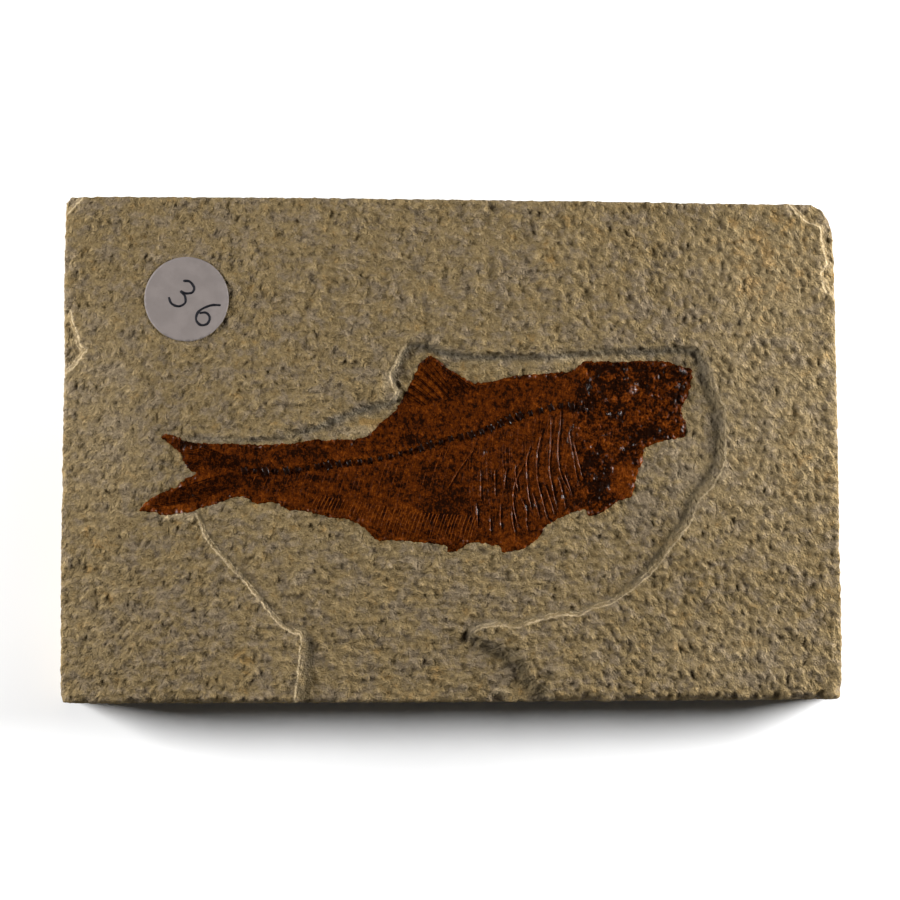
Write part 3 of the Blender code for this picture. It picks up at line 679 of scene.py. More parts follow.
# %% [markdown]
# The underside is triangulated on its own, then turned over and welded to the last row of the sides.

# %% Close the slab
under = np.column_stack([under_flat, np.zeros(len(under_flat))])
first = len(stone_points)
stone_points = np.vstack([stone_points, under])
stone_faces += (under_faces[:, ::-1] + first).tolist()
finish["lip_gap"] = np.concatenate([finish["lip_gap"], np.full(len(stone_points) - len(flat), LIP_REACH)])
slab = make_piece("limestone_slab_stone", stone_points, stone_faces, finish)
face_outwards(slab, weld=0.002)
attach(slab, BODY)
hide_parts("limestone_slab")

# %% [markdown]
# ## Materials
#
# A material here is a small recipe: noise textures on Object coordinates decide where one tint gives way to another.
# Object coordinates stay fixed to the solid, so the pattern doesn't slide when the view turns. A few helpers keep
# the recipes short.

# %% Helpers for materials
def recipe(name):
    """A new material, with its tree, its Principled shader and its Object coordinates."""
    material = bpy.data.materials.new(name)
    material.use_nodes = True
    tree = material.node_tree
    shader = tree.nodes["Principled BSDF"]
    place = tree.nodes.new("ShaderNodeTexCoord").outputs["Object"]
    return material, tree, shader, place


def noise(tree, place, size, detail=3.0, roughness=0.55, stretch=(1.0, 1.0, 1.0), shift=0.0):
    """A noise texture whose lumps are about size millimetres across."""
    mapping = tree.nodes.new("ShaderNodeMapping")
    mapping.inputs["Scale"].default_value = stretch
    mapping.inputs["Location"].default_value = (shift, 0.7 * shift, 0.3 * shift)
    texture = tree.nodes.new("ShaderNodeTexNoise")
    texture.inputs["Scale"].default_value = 1.0 / (size * MM)
    texture.inputs["Detail"].default_value = detail
    texture.inputs["Roughness"].default_value = roughness
    tree.links.new(place, mapping.inputs["Vector"])
    tree.links.new(mapping.outputs["Vector"], texture.inputs["Vector"])
    return texture.outputs["Fac"]


def turned_place(tree, place, degrees, stretch):
    """Places read along a direction, so that a pattern there comes out stretched that way."""
    mapping = tree.nodes.new("ShaderNodeMapping")
    mapping.vector_type = "TEXTURE"
    mapping.inputs["Rotation"].default_value = (0.0, 0.0, math.radians(degrees))
    mapping.inputs["Scale"].default_value = (stretch, 1.0, 1.0)
    tree.links.new(place, mapping.inputs["Vector"])
    return mapping.outputs["Vector"]


def between(tree, value, low, high, out_low=0.0, out_high=1.0):
    """A value that runs from out_low to out_high as the input runs from low to high."""
    node = tree.nodes.new("ShaderNodeMapRange")
    node.interpolation_type = "SMOOTHSTEP"
    for socket, number in zip(("From Min", "From Max", "To Min", "To Max"), (low, high, out_low, out_high)):
        node.inputs[socket].default_value = number
    tree.links.new(value, node.inputs["Value"])
    return node.outputs["Result"]


def tint(tree, share, first, second):
    """Goes from the first colour to the second as the share goes from 0 to 1."""
    node = tree.nodes.new("ShaderNodeMix")
    node.data_type = "RGBA"
    a, b = [s for s in node.inputs if s.type == "RGBA"]
    for socket, colour in ((a, first), (b, second)):
        if isinstance(colour, tuple):
            socket.default_value = (*colour, 1.0)
        else:
            tree.links.new(colour, socket)
    tree.links.new(share, node.inputs["Factor"])
    return next(s for s in node.outputs if s.type == "RGBA")


def calc(tree, operation, first, second=0.0):
    """One arithmetic node on two values, each a number or a socket."""
    node = tree.nodes.new("ShaderNodeMath")
    node.operation = operation
    for socket, value in zip(node.inputs, (first, second)):
        if isinstance(value, bpy.types.NodeSocket):
            tree.links.new(value, socket)
        else:
            socket.default_value = value
    return node.outputs["Value"]


def scaled(tree, vector, factor):
    """A vector or a colour times a number."""
    node = tree.nodes.new("ShaderNodeVectorMath")
    node.operation = "SCALE"
    tree.links.new(vector, node.inputs[0])
    tree.links.new(factor, node.inputs["Scale"])
    return node.outputs["Vector"]


def painted(tree, label):
    """A value stored on the piece's own points."""
    node = tree.nodes.new("ShaderNodeAttribute")
    node.attribute_name = label
    return node.outputs["Fac"]


def bump(tree, shader, height, depth, socket="Normal"):
    """Makes the shader see a fine relief that is depth millimetres from low to high."""
    node = tree.nodes.new("ShaderNodeBump")
    node.inputs["Distance"].default_value = depth * MM
    tree.links.new(height, node.inputs["Height"])
    tree.links.new(node.outputs["Normal"], shader.inputs[socket])


def surface(tree, shader, colour, roughness, specular=0.5):
    """Gives the shader its colour, how rough it is and how strongly it mirrors."""
    tree.links.new(colour, shader.inputs["Base Color"])
    shader.inputs["Roughness"].default_value = roughness
    shader.inputs["Specular IOR Level"].default_value = specular


# %% [markdown]
# Lake limestone is buff where iron stained it, grey-lilac where it is freshly split, and cream along a new break,
# where the pale line is also a painted highlight on the crest. Pits, breaks and the slopes below clean crests get
# painted shade, and high strokes, crests and the parts nearest the lights get painted light. Dark specks
# sit in the pits.

# %% Limestone
BUFF = (0.198, 0.142, 0.067)
LILAC = (0.183, 0.139, 0.087)
OCHRE = (0.228, 0.141, 0.050)
CREAM = (0.40, 0.31, 0.185)
BRUISE = (0.118, 0.109, 0.090)
PIT_SHADE = (0.034, 0.026, 0.014)
STROKE_FLOOR = 0.41
STROKE_BUMP = 1.95
SECOND_STRAND = 0.75


def torn_strokes(tree, place):
    """Fine strokes that run the way the stone was torn, blended from one direction to the next along X."""
    across = tree.nodes.new("ShaderNodeSeparateXYZ")
    tree.links.new(place, across.inputs["Vector"])
    shares = [between(tree, across.outputs["X"], -62.0 * MM, -22.0 * MM, 1.0, 0.0),
              between(tree, across.outputs["X"], 12.0 * MM, 52.0 * MM)]
    shares.insert(1, calc(tree, "SUBTRACT", calc(tree, "SUBTRACT", 1.0, shares[0]), shares[1]))
    fine = calc(tree, "MULTIPLY", noise(tree, place, 0.5, 3.0, 0.7), 0.35)
    for (degrees, _, _, _, stretch, size), share in zip(STROKES, shares):
        strokes = noise(tree, turned_place(tree, place, degrees, stretch), size, 3.0, 0.62)
        strokes = calc(tree, "MAXIMUM", strokes, STROKE_FLOOR)
        fine = calc(tree, "ADD", fine, calc(tree, "MULTIPLY", strokes, share))
    return fine


def pale_line_and_highlight(tree, place):
    """How pale a new break leaves the stone, with a painted highlight along its crest: a broken line along its lip,
    a second strand and the face below it.
    """
    wobble = calc(tree, "SUBTRACT", noise(tree, place, 1.1, 3.0, 0.6, shift=0.03), 0.5)
    gap = calc(tree, "ADD", painted(tree, "lip_gap"), calc(tree, "MULTIPLY", wobble, 1.1))
    line = between(tree, calc(tree, "ABSOLUTE", gap), 0.10, 0.30, 1.0, 0.0)
    broken = between(tree, noise(tree, place, 1.9, 2.0, 0.5, shift=0.09), 0.36, 0.5, 0.6, 1.0)
    line = calc(tree, "MULTIPLY", line, broken)
    strand_gap = calc(tree, "ABSOLUTE", calc(tree, "SUBTRACT", gap, SECOND_STRAND))
    second = between(tree, strand_gap, 0.04, 0.22, 0.7, 0.0)
    skipped = between(tree, noise(tree, place, 2.6, 2.0, 0.5, shift=0.05), 0.42, 0.56)
    line = calc(tree, "MAXIMUM", line, calc(tree, "MULTIPLY", second, skipped))
    facet = calc(tree, "MULTIPLY", between(tree, gap, 0.0, 0.5, 0.0, 0.1), between(tree, gap, 1.2, 2.8, 1.0, 0.0))
    return calc(tree, "MULTIPLY", calc(tree, "MAXIMUM", line, facet), painted(tree, "fresh_and_highlit"))


def limestone():
    """Buff stone with lilac and ochre clouds, grey tool marks, cream break lines that are also painted highlights,
    painted highlights on its high strokes and crests, and painted shade in its pits and breaks.
    """
    material, tree, shader, place = recipe("limestone")
    fine = torn_strokes(tree, place)
    clouds = noise(tree, place, 4.2, 4.0, 0.6, stretch=(0.85, 1.1, 1.0))
    mottle = noise(tree, place, 1.7, 3.0, 0.6, shift=0.02)
    value = calc(tree, "ADD", between(tree, clouds, 0.3, 0.7, -0.75, 0.75),
                 between(tree, mottle, 0.3, 0.7, -0.45, 0.45))
    value = calc(tree, "ADD", value, painted(tree, "stain"))
    colour = tint(tree, between(tree, value, -0.9, 0.35), LILAC, BUFF)
    colour = tint(tree, between(tree, value, 0.45, 1.5), colour, OCHRE)
    # Painted light: pale patches where the lights fall strongest.
    colour = tint(tree, painted(tree, "pale"), colour, CREAM)
    # Painted highlight on the high crests of the torn strokes.
    colour = tint(tree, calc(tree, "MULTIPLY", painted(tree, "painted_crest_highlight"), 0.16), colour, CREAM)
    colour = tint(tree, calc(tree, "MULTIPLY", painted(tree, "bruised"), 0.6), colour, BRUISE)
    grain = noise(tree, place, 0.5, 3.0, 0.7)
    # Painted light: the colour is lighter on the high strokes of the bump and darker on the low ones, times a random
    # grain.
    light = calc(tree, "MULTIPLY", between(tree, grain, 0.3, 0.7, 0.85, 1.17),
                 between(tree, fine, 0.66, 0.90, 0.95, 1.29))
    colour = scaled(tree, colour, light)
    # Painted shade in the pits, the breaks and on the slopes below clean crests.
    colour = tint(tree, calc(tree, "MULTIPLY", painted(tree, "painted_shade"), 0.72), colour, PIT_SHADE)
    # The pale line of a new break, which is also a painted highlight on its crest.
    colour = tint(tree, pale_line_and_highlight(tree, place), colour, CREAM)
    surface(tree, shader, colour, 0.95, 0.08)
    bump(tree, shader, fine, STROKE_BUMP)
    return material


slab.data.materials.append(limestone())

# %% [markdown]
# ## The skin of the fish
#
# What is left of the fish is a film of bone and skin less than a millimetre thick. It is made like the stone, as a
# height over the stone that the film lies on: thin at its edge, thicker in the body, with the plates of the skull
# standing in broken steps.

# %% Film relief
FILM_EDGE = 0.11
FILM_RISE = 0.42
SPINE_TROUGH = 0.8
RIB_GROOVE = 0.09
RIDGE_HEIGHT = 0.20

# Drawn lines: the ridges of the skull, and the ribs that stand clear.
SKULL_RIDGES = [
    [(31.3, 18.8), (35.3, 18.1), (43.6, 18.5), (51.8, 17.6)],
    [(39.3, 18.3), (40.1, 13.9), (41.4, 12.0)],
    [(51.0, 14.5), (50.2, 11.7), (50.4, 8.6)],
    [(43.6, 7.1), (47.9, 7.3), (51.4, 7.2)],
    [(37.6, 9.5), (38.2, 5.7), (39.8, 3.0), (41.4, 1.6), (43.2, 0.8)],
    [(29.9, 13.6), (28.1, 6.8), (29.9, 1.4), (32.6, -0.8), (34.9, -1.3)],
    [(31.1, 0.7), (33.5, -2.4), (34.2, -6.7), (33.1, -10.7)],
    [(37.2, -2.7), (39.6, -2.9), (41.9, -3.4)],
]
EYE_CENTRE = np.array((46.4, 11.7))
EYE_RADIUS = 2.6
RIB_LINES = [
    [(24.7, 8.7), (24.5, 5.1), (24.0, 0.8), (24.3, -4.1), (25.3, -7.0), (27.3, -10.4)],
    [(22.5, 7.4), (22.4, 3.6), (22.3, 0.2), (22.1, -4.7), (23.1, -10.1), (23.8, -12.6)],
    [(27.3, 6.0), (26.6, 3.6), (27.4, -1.2), (28.0, -5.0), (28.5, -7.0)],
    [(27.6, 1.8), (28.1, -0.6), (29.1, -4.7), (29.6, -6.4)],
    [(24.0, -6.0), (24.7, -8.4), (25.7, -13.0)],
    [(20.6, 4.6), (19.6, 0.6), (19.2, -3.0), (19.4, -7.0), (20.4, -11.0), (21.5, -15.0), (22.2, -16.0)],
    [(17.9, 1.0), (17.1, -1.5), (16.9, -4.1), (17.1, -7.5), (17.5, -11.0), (18.2, -13.4)],
    [(15.5, -10.1), (16.9, -13.9), (16.8, -16.1), (17.2, -18.0)],
    [(18.3, -9.6), (18.7, -11.0), (19.4, -13.6), (20.0, -15.4)],
    [(21.2, -8.0), (21.7, -9.6), (23.3, -14.7)],
    [(14.6, -3.4), (14.4, -4.7), (14.6, -7.0), (15.0, -9.0)],
    [(12.4, -4.6), (12.1, -6.4), (11.9, -9.3)],
    [(17.2, -1.8), (15.5, -4.7), (14.4, -7.5), (13.9, -10.4), (14.1, -13.3), (15.2, -17.6)],
    [(25.5, -5.2), (26.7, -8.7), (27.2, -10.0)],
    [(9.8, -4.6), (9.8, -7.0), (9.9, -10.4)], [(6.7, -4.6), (6.6, -8.2), (6.6, -11.0)],
    [(5.6, -12.0), (5.8, -15.0), (5.9, -17.4)], [(5.2, 0.3), (2.0, -4.0), (-0.7, -8.5)],
    [(11.2, -12.2), (11.0, -15.2), (11.3, -18.4)], [(8.7, -14.6), (8.8, -17.3), (8.9, -19.0)],
    [(13.6, -12.8), (13.8, -16.2), (14.4, -18.8)],
]


def beside_ribs(points, shift, reach):
    """How close each point is to a line that runs beside a rib, from 0 to 1."""
    close = np.zeros(len(points))
    for line in RIB_LINES:
        close = np.maximum(close, np.exp(-(nearest(points - (shift, 0.0), smooth(line, 0.6), 2.0)[0] / reach) ** 2))
    return close


def film_relief(points):
    """Height of the film's top in mm, and its painted shade and highlight: darker where the film lies low among the
    crumbs of the skull and in the shadow beside each rib, lighter on raised crumbs and on the lit side of each rib.
    """
    x, y = points.T
    edge = nearest(points, FISH_BORDER)[0]
    fine_stone = stone_relief(points)[0]
    even_stone = stone_relief(points, fine=0.2)[0]
    under = fine_stone + ease(edge, 0.1, 2.0) * (even_stone - fine_stone)
    body = 1.0 - np.exp(-edge / 3.6)
    height = under + FILM_EDGE * ease(edge, -0.1, 0.3) + FILM_RISE * body
    height += body * (0.16 * lumps(points, 3.4, 91.0) + 0.10 * lumps(points, 1.5, 92.0))
    height += 0.050 * lumps(points, 0.75, 93.0) * ease(edge, 0.0, 0.8)
    belly = ease(spine_at(x) - y, 3.0, 8.0) * ease(x, -24.0, -12.0) * (1.0 - ease(x, 24.0, 30.0))
    combed = np.stack([x - 0.12 * y + 0.35 * lumps(points, 4.0, 89.0), 0.16 * y], axis=1)
    height += 0.075 * belly * lumps(combed, 0.62, 90.0)
    skull = ease(x + 0.8 * lumps(points, 2.0, 99.0), 26.5, 30.5) * ease(edge, 0.0, 1.5)
    throat = ease(x, 35.0, 37.0) * ease(-y, 1.0, 3.0)
    skull *= 1.0 - 0.75 * throat
    torn = warped(points, 1.3, 0.45, 87.0)
    plates = 0.9 * np.abs(lumps(torn, 2.6, 94.0)) + 0.7 * np.abs(lumps(torn, 1.0, 95.0))
    crumbs = lumps(warped(points, 0.7, 0.25, 88.0), 0.45, 96.0)
    height += skull * (0.24 * plates - 0.10 + 0.11 * crumbs)
    # Painted shade and highlight: low places among the skull's crumbs are painted darker, raised plates and crumbs
    # lighter.
    low = skull * (1.05 - 1.5 * plates - 1.0 * crumbs + 0.6 * lumps(points, 3.2, 98.0))
    flank = beside_ribs(points, 0.36, 0.24) * (0.75 + 0.5 * lumps(points, 1.8, 85.0))
    height -= RIB_GROOVE * flank
    # Painted shadow along the grooved side of each rib, and a painted highlight along its other side.
    low += 1.5 * flank - 0.5 * beside_ribs(points, -0.30, 0.28)
    for ridge in SKULL_RIDGES:
        off = nearest(warped(points, 1.4, 0.3, 97.0), smooth(ridge, 0.5))[0]
        ridge_line = np.exp(-(off / 0.5) ** 2) * ease(edge, 0.0, 0.8)
        height += RIDGE_HEIGHT * ridge_line * (1.0 + lumps(points, 1.1, 86.0))
    eye = np.hypot(*(points - EYE_CENTRE).T) / EYE_RADIUS
    height += 0.10 * np.exp(-((eye - 1.0) / 0.25) ** 2) - 0.12 * (1.0 - ease(eye, 0.5, 1.0)) * skull
    off_spine = nearest(points, SPINE)[0]
    height -= 0.05 * np.exp(-(off_spine / SPINE_TROUGH) ** 2) * ease(x, -50.0, -44.0)
    return height, low


# %% [markdown]
# The colour of the film is painted in soft patches: dark where the bone is thick or the gut was, and orange
# where the film is thin, such as the fins and the throat.

# %% Film colour patches
# x, y, half its length, half its height and how strong. Positive is darker, negative is more orange.
PATCHES = [
    (-61.0, -10.4, 5.5, 1.8, 0.15), (-48.1, -2.2, 4.4, 2.0, 0.9), (-52.6, -3.3, 2.0, 1.5, 0.8),
    (-44.8, -6.8, 3.6, 1.9, 0.9), (-57.5, 1.2, 4.5, 1.2, 0.6), (-68.3, -12.8, 1.8, 1.2, -1.1),
    (-58.0, -13.4, 5.0, 0.7, -0.7), (-33.5, -1.0, 4.6, 2.4, 1.0), (-40.0, -0.6, 4.0, 1.5, 0.4),
    (-32.6, -6.3, 3.2, 1.3, 0.7), (-25.7, -11.5, 2.3, 1.9, 0.9), (-13.5, -5.8, 2.6, 1.7, 0.8),
    (-22.0, -8.0, 5.0, 2.0, 0.3), (-18.0, -14.0, 12.0, 4.0, -0.3), (-9.0, -14.5, 5.0, 6.0, -0.3),
    (-1.5, -12.4, 5.5, 6.0, 0.55), (-5.0, -6.0, 4.0, 3.0, 0.45), (-8.2, 1.6, 4.4, 1.9, 0.75),
    (-9.5, 6.0, 4.0, 1.8, 0.4), (-6.0, 14.0, 5.0, 5.5, -0.75), (3.0, 13.6, 3.0, 0.9, 1.0),
    (-1.6, 11.8, 5.0, 0.6, 0.9), (13.0, 12.5, 12.0, 4.0, 0.12), (20.0, 4.0, 6.0, 4.0, -0.1),
    (4.4, -3.2, 2.0, 2.0, 0.6), (26.5, -9.0, 3.5, 5.0, 0.4), (12.0, -21.0, 8.0, 1.6, -0.5),
    (33.5, 18.8, 4.0, 1.5, 1.2), (30.8, 12.6, 2.4, 3.0, 1.1), (43.7, 16.4, 1.7, 3.2, 0.8),
    (48.0, 18.6, 5.0, 1.2, 0.7), (37.4, 14.0, 2.0, 2.8, 0.6), (44.0, 4.0, 6.2, 1.9, 1.0),
    (33.4, -5.5, 2.2, 6.0, 1.2), (50.7, 11.9, 1.2, 4.2, 0.8), (46.4, 11.4, 3.4, 2.6, -0.8),
    (39.0, -6.5, 3.2, 4.5, -1.1), (40.4, 13.2, 1.1, 2.2, -1.5), (36.7, 6.3, 2.2, 2.0, -0.7),
    (33.0, 2.0, 4.5, 2.6, -0.3), (29.3, 18.0, 2.2, 1.0, -1.0), (28.6, -1.0, 1.4, 6.0, -0.5),
    (38.0, 7.6, 0.9, 3.2, 1.1), (41.8, 1.8, 2.0, 1.4, 0.9), (43.4, 5.4, 2.0, 0.8, -0.7),
    (38.5, 19.6, 7.0, 0.7, 0.9), (33.4, -7.8, 2.2, 3.6, 0.6), (31.5, 0.4, 1.6, 0.5, -0.9),
    (34.0, -1.0, 1.6, 0.4, -0.9), (30.4, -3.0, 1.6, 2.2, 0.6), (28.6, 9.3, 1.8, 1.2, 0.9),
    (53.2, 12.8, 0.7, 4.0, -0.6), (40.4, -9.0, 1.2, 2.0, -0.5), (0.0, -10.0, 17.0, 7.5, 0.22),
    (-60.0, -9.6, 3.6, 1.1, 0.3), (-61.0, -12.9, 5.6, 0.9, -0.9), (-56.0, -6.8, 3.0, 1.6, -0.5),
    (-41.0, -6.0, 9.0, 3.6, 0.35),
]
# Spots where the varnish lies thick and glints, in the same five numbers.
POLISHED = [
    (27.2, 4.8, 0.5, 1.3, 1.0), (26.7, 2.2, 0.4, 1.0, 0.8), (31.0, 14.0, 0.7, 1.3, 1.0), (31.4, 16.0, 0.5, 0.8, 0.6),
    (40.9, 13.6, 0.8, 1.1, 1.0), (51.0, 14.4, 0.4, 0.7, 1.0), (52.4, 17.8, 0.9, 0.8, 1.0), (46.9, 4.2, 0.4, 0.8, 0.9),
    (52.3, 6.1, 0.4, 0.7, 0.8), (41.3, 1.0, 0.6, 0.5, 0.8), (37.8, 8.7, 0.4, 0.8, 0.9), (35.5, 8.2, 0.5, 0.5, 0.8),
    (35.0, 11.2, 0.4, 0.8, 0.7), (41.7, 15.1, 0.4, 0.6, 0.7), (47.9, 17.5, 0.4, 0.4, 0.7), (39.5, 16.2, 0.5, 0.5, 0.6),
    (38.7, 0.2, 0.5, 0.6, 0.8), (30.1, 9.1, 0.6, 0.6, 0.8), (34.7, 3.2, 1.0, 0.5, 0.6), (32.4, -6.2, 0.6, 0.8, 0.9),
    (36.0, -4.6, 0.5, 1.2, 0.5), (35.4, -8.4, 0.6, 1.6, 0.5), (7.9, -0.6, 0.4, 0.9, 0.7), (16.7, -13.0, 0.3, 1.0, 0.9),
    (25.2, -10.8, 0.3, 1.2, 0.9), (19.0, -12.0, 0.3, 0.9, 0.8), (5.7, -13.8, 0.3, 0.9, 0.8),
    (40.6, -8.6, 0.8, 1.6, 0.4), (4.6, 3.2, 0.8, 0.5, 0.7), (9.4, 5.2, 0.6, 0.6, 0.7), (-13.2, -1.2, 0.6, 0.6, 0.8),
    (-34.5, -4.4, 1.4, 0.6, 0.7), (-58.8, 1.0, 0.5, 0.9, 0.6), (-55.0, -2.2, 1.2, 1.0, 0.4), (-57.6, -10.4, 0.9, 0.6, 0.5),
]


def blotches(points):
    """How dark (above 0) or orange (below 0) the film is."""
    shade = 0.8 * np.tanh(patches(points, PATCHES, 0.9) / 0.8)
    shade += 0.36 * lumps(points, 3.5, 101.0) + 0.36 * lumps(points, 1.5, 102.0)
    spine_gap = nearest(points, SPINE)[0]
    between_vertebrae = np.exp(-(spine_gap / 1.3) ** 2) * (1.0 - ease(points[:, 0], 24.0, 28.0))
    cord = np.exp(-((spine_gap + 0.2 * lumps(points, 1.1, 106.0)) / 0.30) ** 2) * (points[:, 0] < 28.0)
    return shade + 0.36 * lumps(points, 0.7, 105.0) + 0.27 - 0.6 * between_vertebrae + 0.45 * cord


# %% [markdown]
# The film's mesh is finer than the stone's, because the crumbs of the skull are a fraction of a millimetre across.
# Its border is walled down into the stone, so no gap shows under its frayed edge.

# %% Film mesh
FILM_GRAIN = 0.235
FILM_BOTTOM = 10.5

fill = scatter(FISH_OUTLINE, FILM_GRAIN, 12)
fill = fill[nearest(fill, FISH_BORDER)[0] > 0.12]
flat, faces = triangulate(FISH_OUTLINE, [], fill)
height, painted_film_shade_and_highlight = film_relief(flat)
ring = np.array(border(faces))
low = np.column_stack([flat[ring], np.full(len(ring), FILM_BOTTOM)])
lower = len(flat) + np.arange(len(ring))
film_faces = faces.tolist() + wall(ring, lower)
film_faces.append(lower[::-1].tolist())
thin_edge = np.exp(-nearest(flat, FISH_BORDER)[0] / 0.35) * ease(lumps(flat, 2.6, 77.0), -0.35, 0.4)
thin_edge *= np.where(flat[:, 1] < spine_at(flat[:, 0]), 1.2, 0.5)
# The film's attribute of patches holds its own dark and orange patches, its paler fringe, and the painted shade and
# highlight of the skull's crumbs and of the ribs.
skin = make_piece("fossil_skin", np.vstack([np.column_stack([flat, height]), low]), film_faces, {
    "blotch_and_shade": blotches(flat) + painted_film_shade_and_highlight - thin_edge,
    "polish": np.clip(patches(flat, POLISHED, 0.2), 0.0, 1.0),
})
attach(skin, BODY)
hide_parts("fossil_fish")

# %% [markdown]
# Bone that has been varnished is dark, saturated and glossy: a rough brown base under a clear coat. The coat is what
# makes every crumb of the skull glint.

# %% Fossil materials
DARK_BONE = (0.008, 0.0024, 0.0009)
RED_BROWN = (0.056, 0.0118, 0.0014)
ORANGE = (0.130, 0.031, 0.0032)


def fossil(name, attribute=False, darkness=0.0, coat=0.05):
    """Varnished bone. Darkness shifts it from orange towards black, and so does the skin's attribute, which holds its
    patches and its painted shade and highlight.
    """
    material, tree, shader, place = recipe(name)
    mottle = noise(tree, place, 1.2, 4.0, 0.7)
    stipple = noise(tree, place, 0.42, 3.0, 0.65, shift=0.04)
    fibres = noise(tree, turned_place(tree, place, 78.0, 3.2), 0.36, 2.0, 0.6, shift=0.06)
    value = calc(tree, "ADD", between(tree, mottle, 0.3, 0.7, -0.65, 0.65),
                 between(tree, stipple, 0.3, 0.7, -0.42, 0.42))
    value = calc(tree, "ADD", value, between(tree, fibres, 0.3, 0.7, -0.35, 0.35))
    specks = noise(tree, place, 0.55, 2.0, 0.6, shift=0.11)
    value = calc(tree, "SUBTRACT", value, between(tree, specks, 0.60, 0.68, 0.0, 0.8))
    value = calc(tree, "ADD", value, darkness)
    uneven = between(tree, noise(tree, place, 1.5, 2.0, 0.5, shift=0.13), 0.42, 0.62, 0.3, 1.6)
    coated = calc(tree, "MULTIPLY", uneven, coat)
    gloss = noise(tree, place, 0.6, 2.0, 0.6, shift=0.07)
    if attribute:
        value = calc(tree, "ADD", value, painted(tree, "blotch_and_shade"))
        polish = painted(tree, "polish")
        coated = calc(tree, "ADD", coated, calc(tree, "MULTIPLY", polish, 0.7))
        gloss = calc(tree, "MULTIPLY", gloss, calc(tree, "ADD", calc(tree, "MULTIPLY", polish, 4.0), 1.0))
    colour = tint(tree, between(tree, value, -1.3, 0.0, 1.0, 0.0), RED_BROWN, ORANGE)
    colour = tint(tree, between(tree, value, 0.0, 1.1), colour, DARK_BONE)
    surface(tree, shader, colour, 0.9, 0.0)
    tree.links.new(coated, shader.inputs["Coat Weight"])
    shader.inputs["Coat Roughness"].default_value = 0.24
    fine = calc(tree, "ADD", noise(tree, place, 0.5, 3.0, 0.65), fibres)
    bump(tree, shader, fine, 0.32)
    bump(tree, shader, gloss, 0.10, "Coat Normal")
    return material


skin.data.materials.append(fossil("fossil_skin", attribute=True, coat=0.10))
bone_material = fossil("fossil_bone", darkness=-0.1)
dark_material = fossil("fossil_bone_dark", darkness=0.85)
pale_material = fossil("fossil_bone_pale", darkness=-0.7)
glossy_material = fossil("fossil_bone_polished", darkness=-0.35, coat=0.32)
spine_material = fossil("fossil_backbone", darkness=2.4, coat=0.30)

# %% [markdown]
# ## Ribs, spines and rays with Geometry Nodes
#
# A fish's body repeats itself: ribs, fin rays and the spines of its vertebrae are rows of thin rods. One tree makes
# them all. It takes three guide curves, where the rods start, bend and end, and spreads a number of rods along them.
# Each rod is dropped onto the skin with a ray cast, so it hugs the relief. Width, taper and wobble are named inputs.

# %% A tree that lays rods across guide curves
TUBE_SIDES = 6
DIP_GRAIN = 450.0
ABOVE_ALL = 0.03


def new_tree(name, inputs):
    """An empty Geometry Nodes tree with named inputs after the geometry. Gives the tree and its two end nodes."""
    tree = bpy.data.node_groups.new(name, "GeometryNodeTree")
    tree.interface.new_socket("Geometry", in_out="INPUT", socket_type="NodeSocketGeometry")
    for label, kind in inputs:
        tree.interface.new_socket(label, in_out="INPUT", socket_type="NodeSocket" + kind)
    tree.interface.new_socket("Geometry", in_out="OUTPUT", socket_type="NodeSocketGeometry")
    return tree, tree.nodes.new("NodeGroupInput"), tree.nodes.new("NodeGroupOutput")


def add(tree, kind, settings=None, **values):
    """Adds a node, sets its settings and gives each named input a number or a link."""
    node = tree.nodes.new(kind)
    for label, value in (settings or {}).items():
        setattr(node, label, value)
    for label, value in values.items():
        socket = next(s for s in node.inputs if s.enabled and s.name.replace(" ", "_").lower() == label)
        if isinstance(value, bpy.types.NodeSocket):
            tree.links.new(value, socket)
        else:
            socket.default_value = value
    return node


def summed(tree, first, second):
    """Two vectors added."""
    node = tree.nodes.new("ShaderNodeVectorMath")
    tree.links.new(first, node.inputs[0])
    tree.links.new(second, node.inputs[1])
    return node.outputs["Vector"]


def on_skin(tree, place, target, proud, dip=0.0):
    """The place moved straight down or up onto the skin, then raised by proud, and at random by up to dip."""
    cloud = add(tree, "ShaderNodeTexNoise", vector=place, scale=DIP_GRAIN, detail=2.0)
    swing = calc(tree, "MULTIPLY", calc(tree, "SUBTRACT", cloud.outputs[0], 0.5), calc(tree, "MULTIPLY", dip, 4.0))
    proud = calc(tree, "ADD", proud, swing)
    apart = add(tree, "ShaderNodeSeparateXYZ", vector=place)
    above = add(tree, "ShaderNodeCombineXYZ", x=apart.outputs["X"], y=apart.outputs["Y"], z=ABOVE_ALL)
    shape = add(tree, "GeometryNodeObjectInfo", {"transform_space": "ORIGINAL"}, object=target)
    cast = add(tree, "GeometryNodeRaycast", target_geometry=shape.outputs["Geometry"],
               source_position=above.outputs["Vector"], ray_direction=(0.0, 0.0, -1.0), ray_length=ABOVE_ALL)
    found = add(tree, "ShaderNodeSeparateXYZ", vector=cast.outputs["Hit Position"])
    hit = cast.outputs["Is Hit"]
    level = calc(tree, "ADD", found.outputs["Z"], proud)
    kept = calc(tree, "MULTIPLY", apart.outputs["Z"], calc(tree, "SUBTRACT", 1.0, hit))
    level = calc(tree, "ADD", calc(tree, "MULTIPLY", level, hit), kept)
    return add(tree, "ShaderNodeCombineXYZ", x=apart.outputs["X"], y=apart.outputs["Y"], z=level).outputs["Vector"]


def chance(tree, **values):
    """A random number for each point."""
    node = add(tree, "FunctionNodeRandomValue", {"data_type": "FLOAT"}, **values)
    return next(s for s in node.outputs if s.enabled)


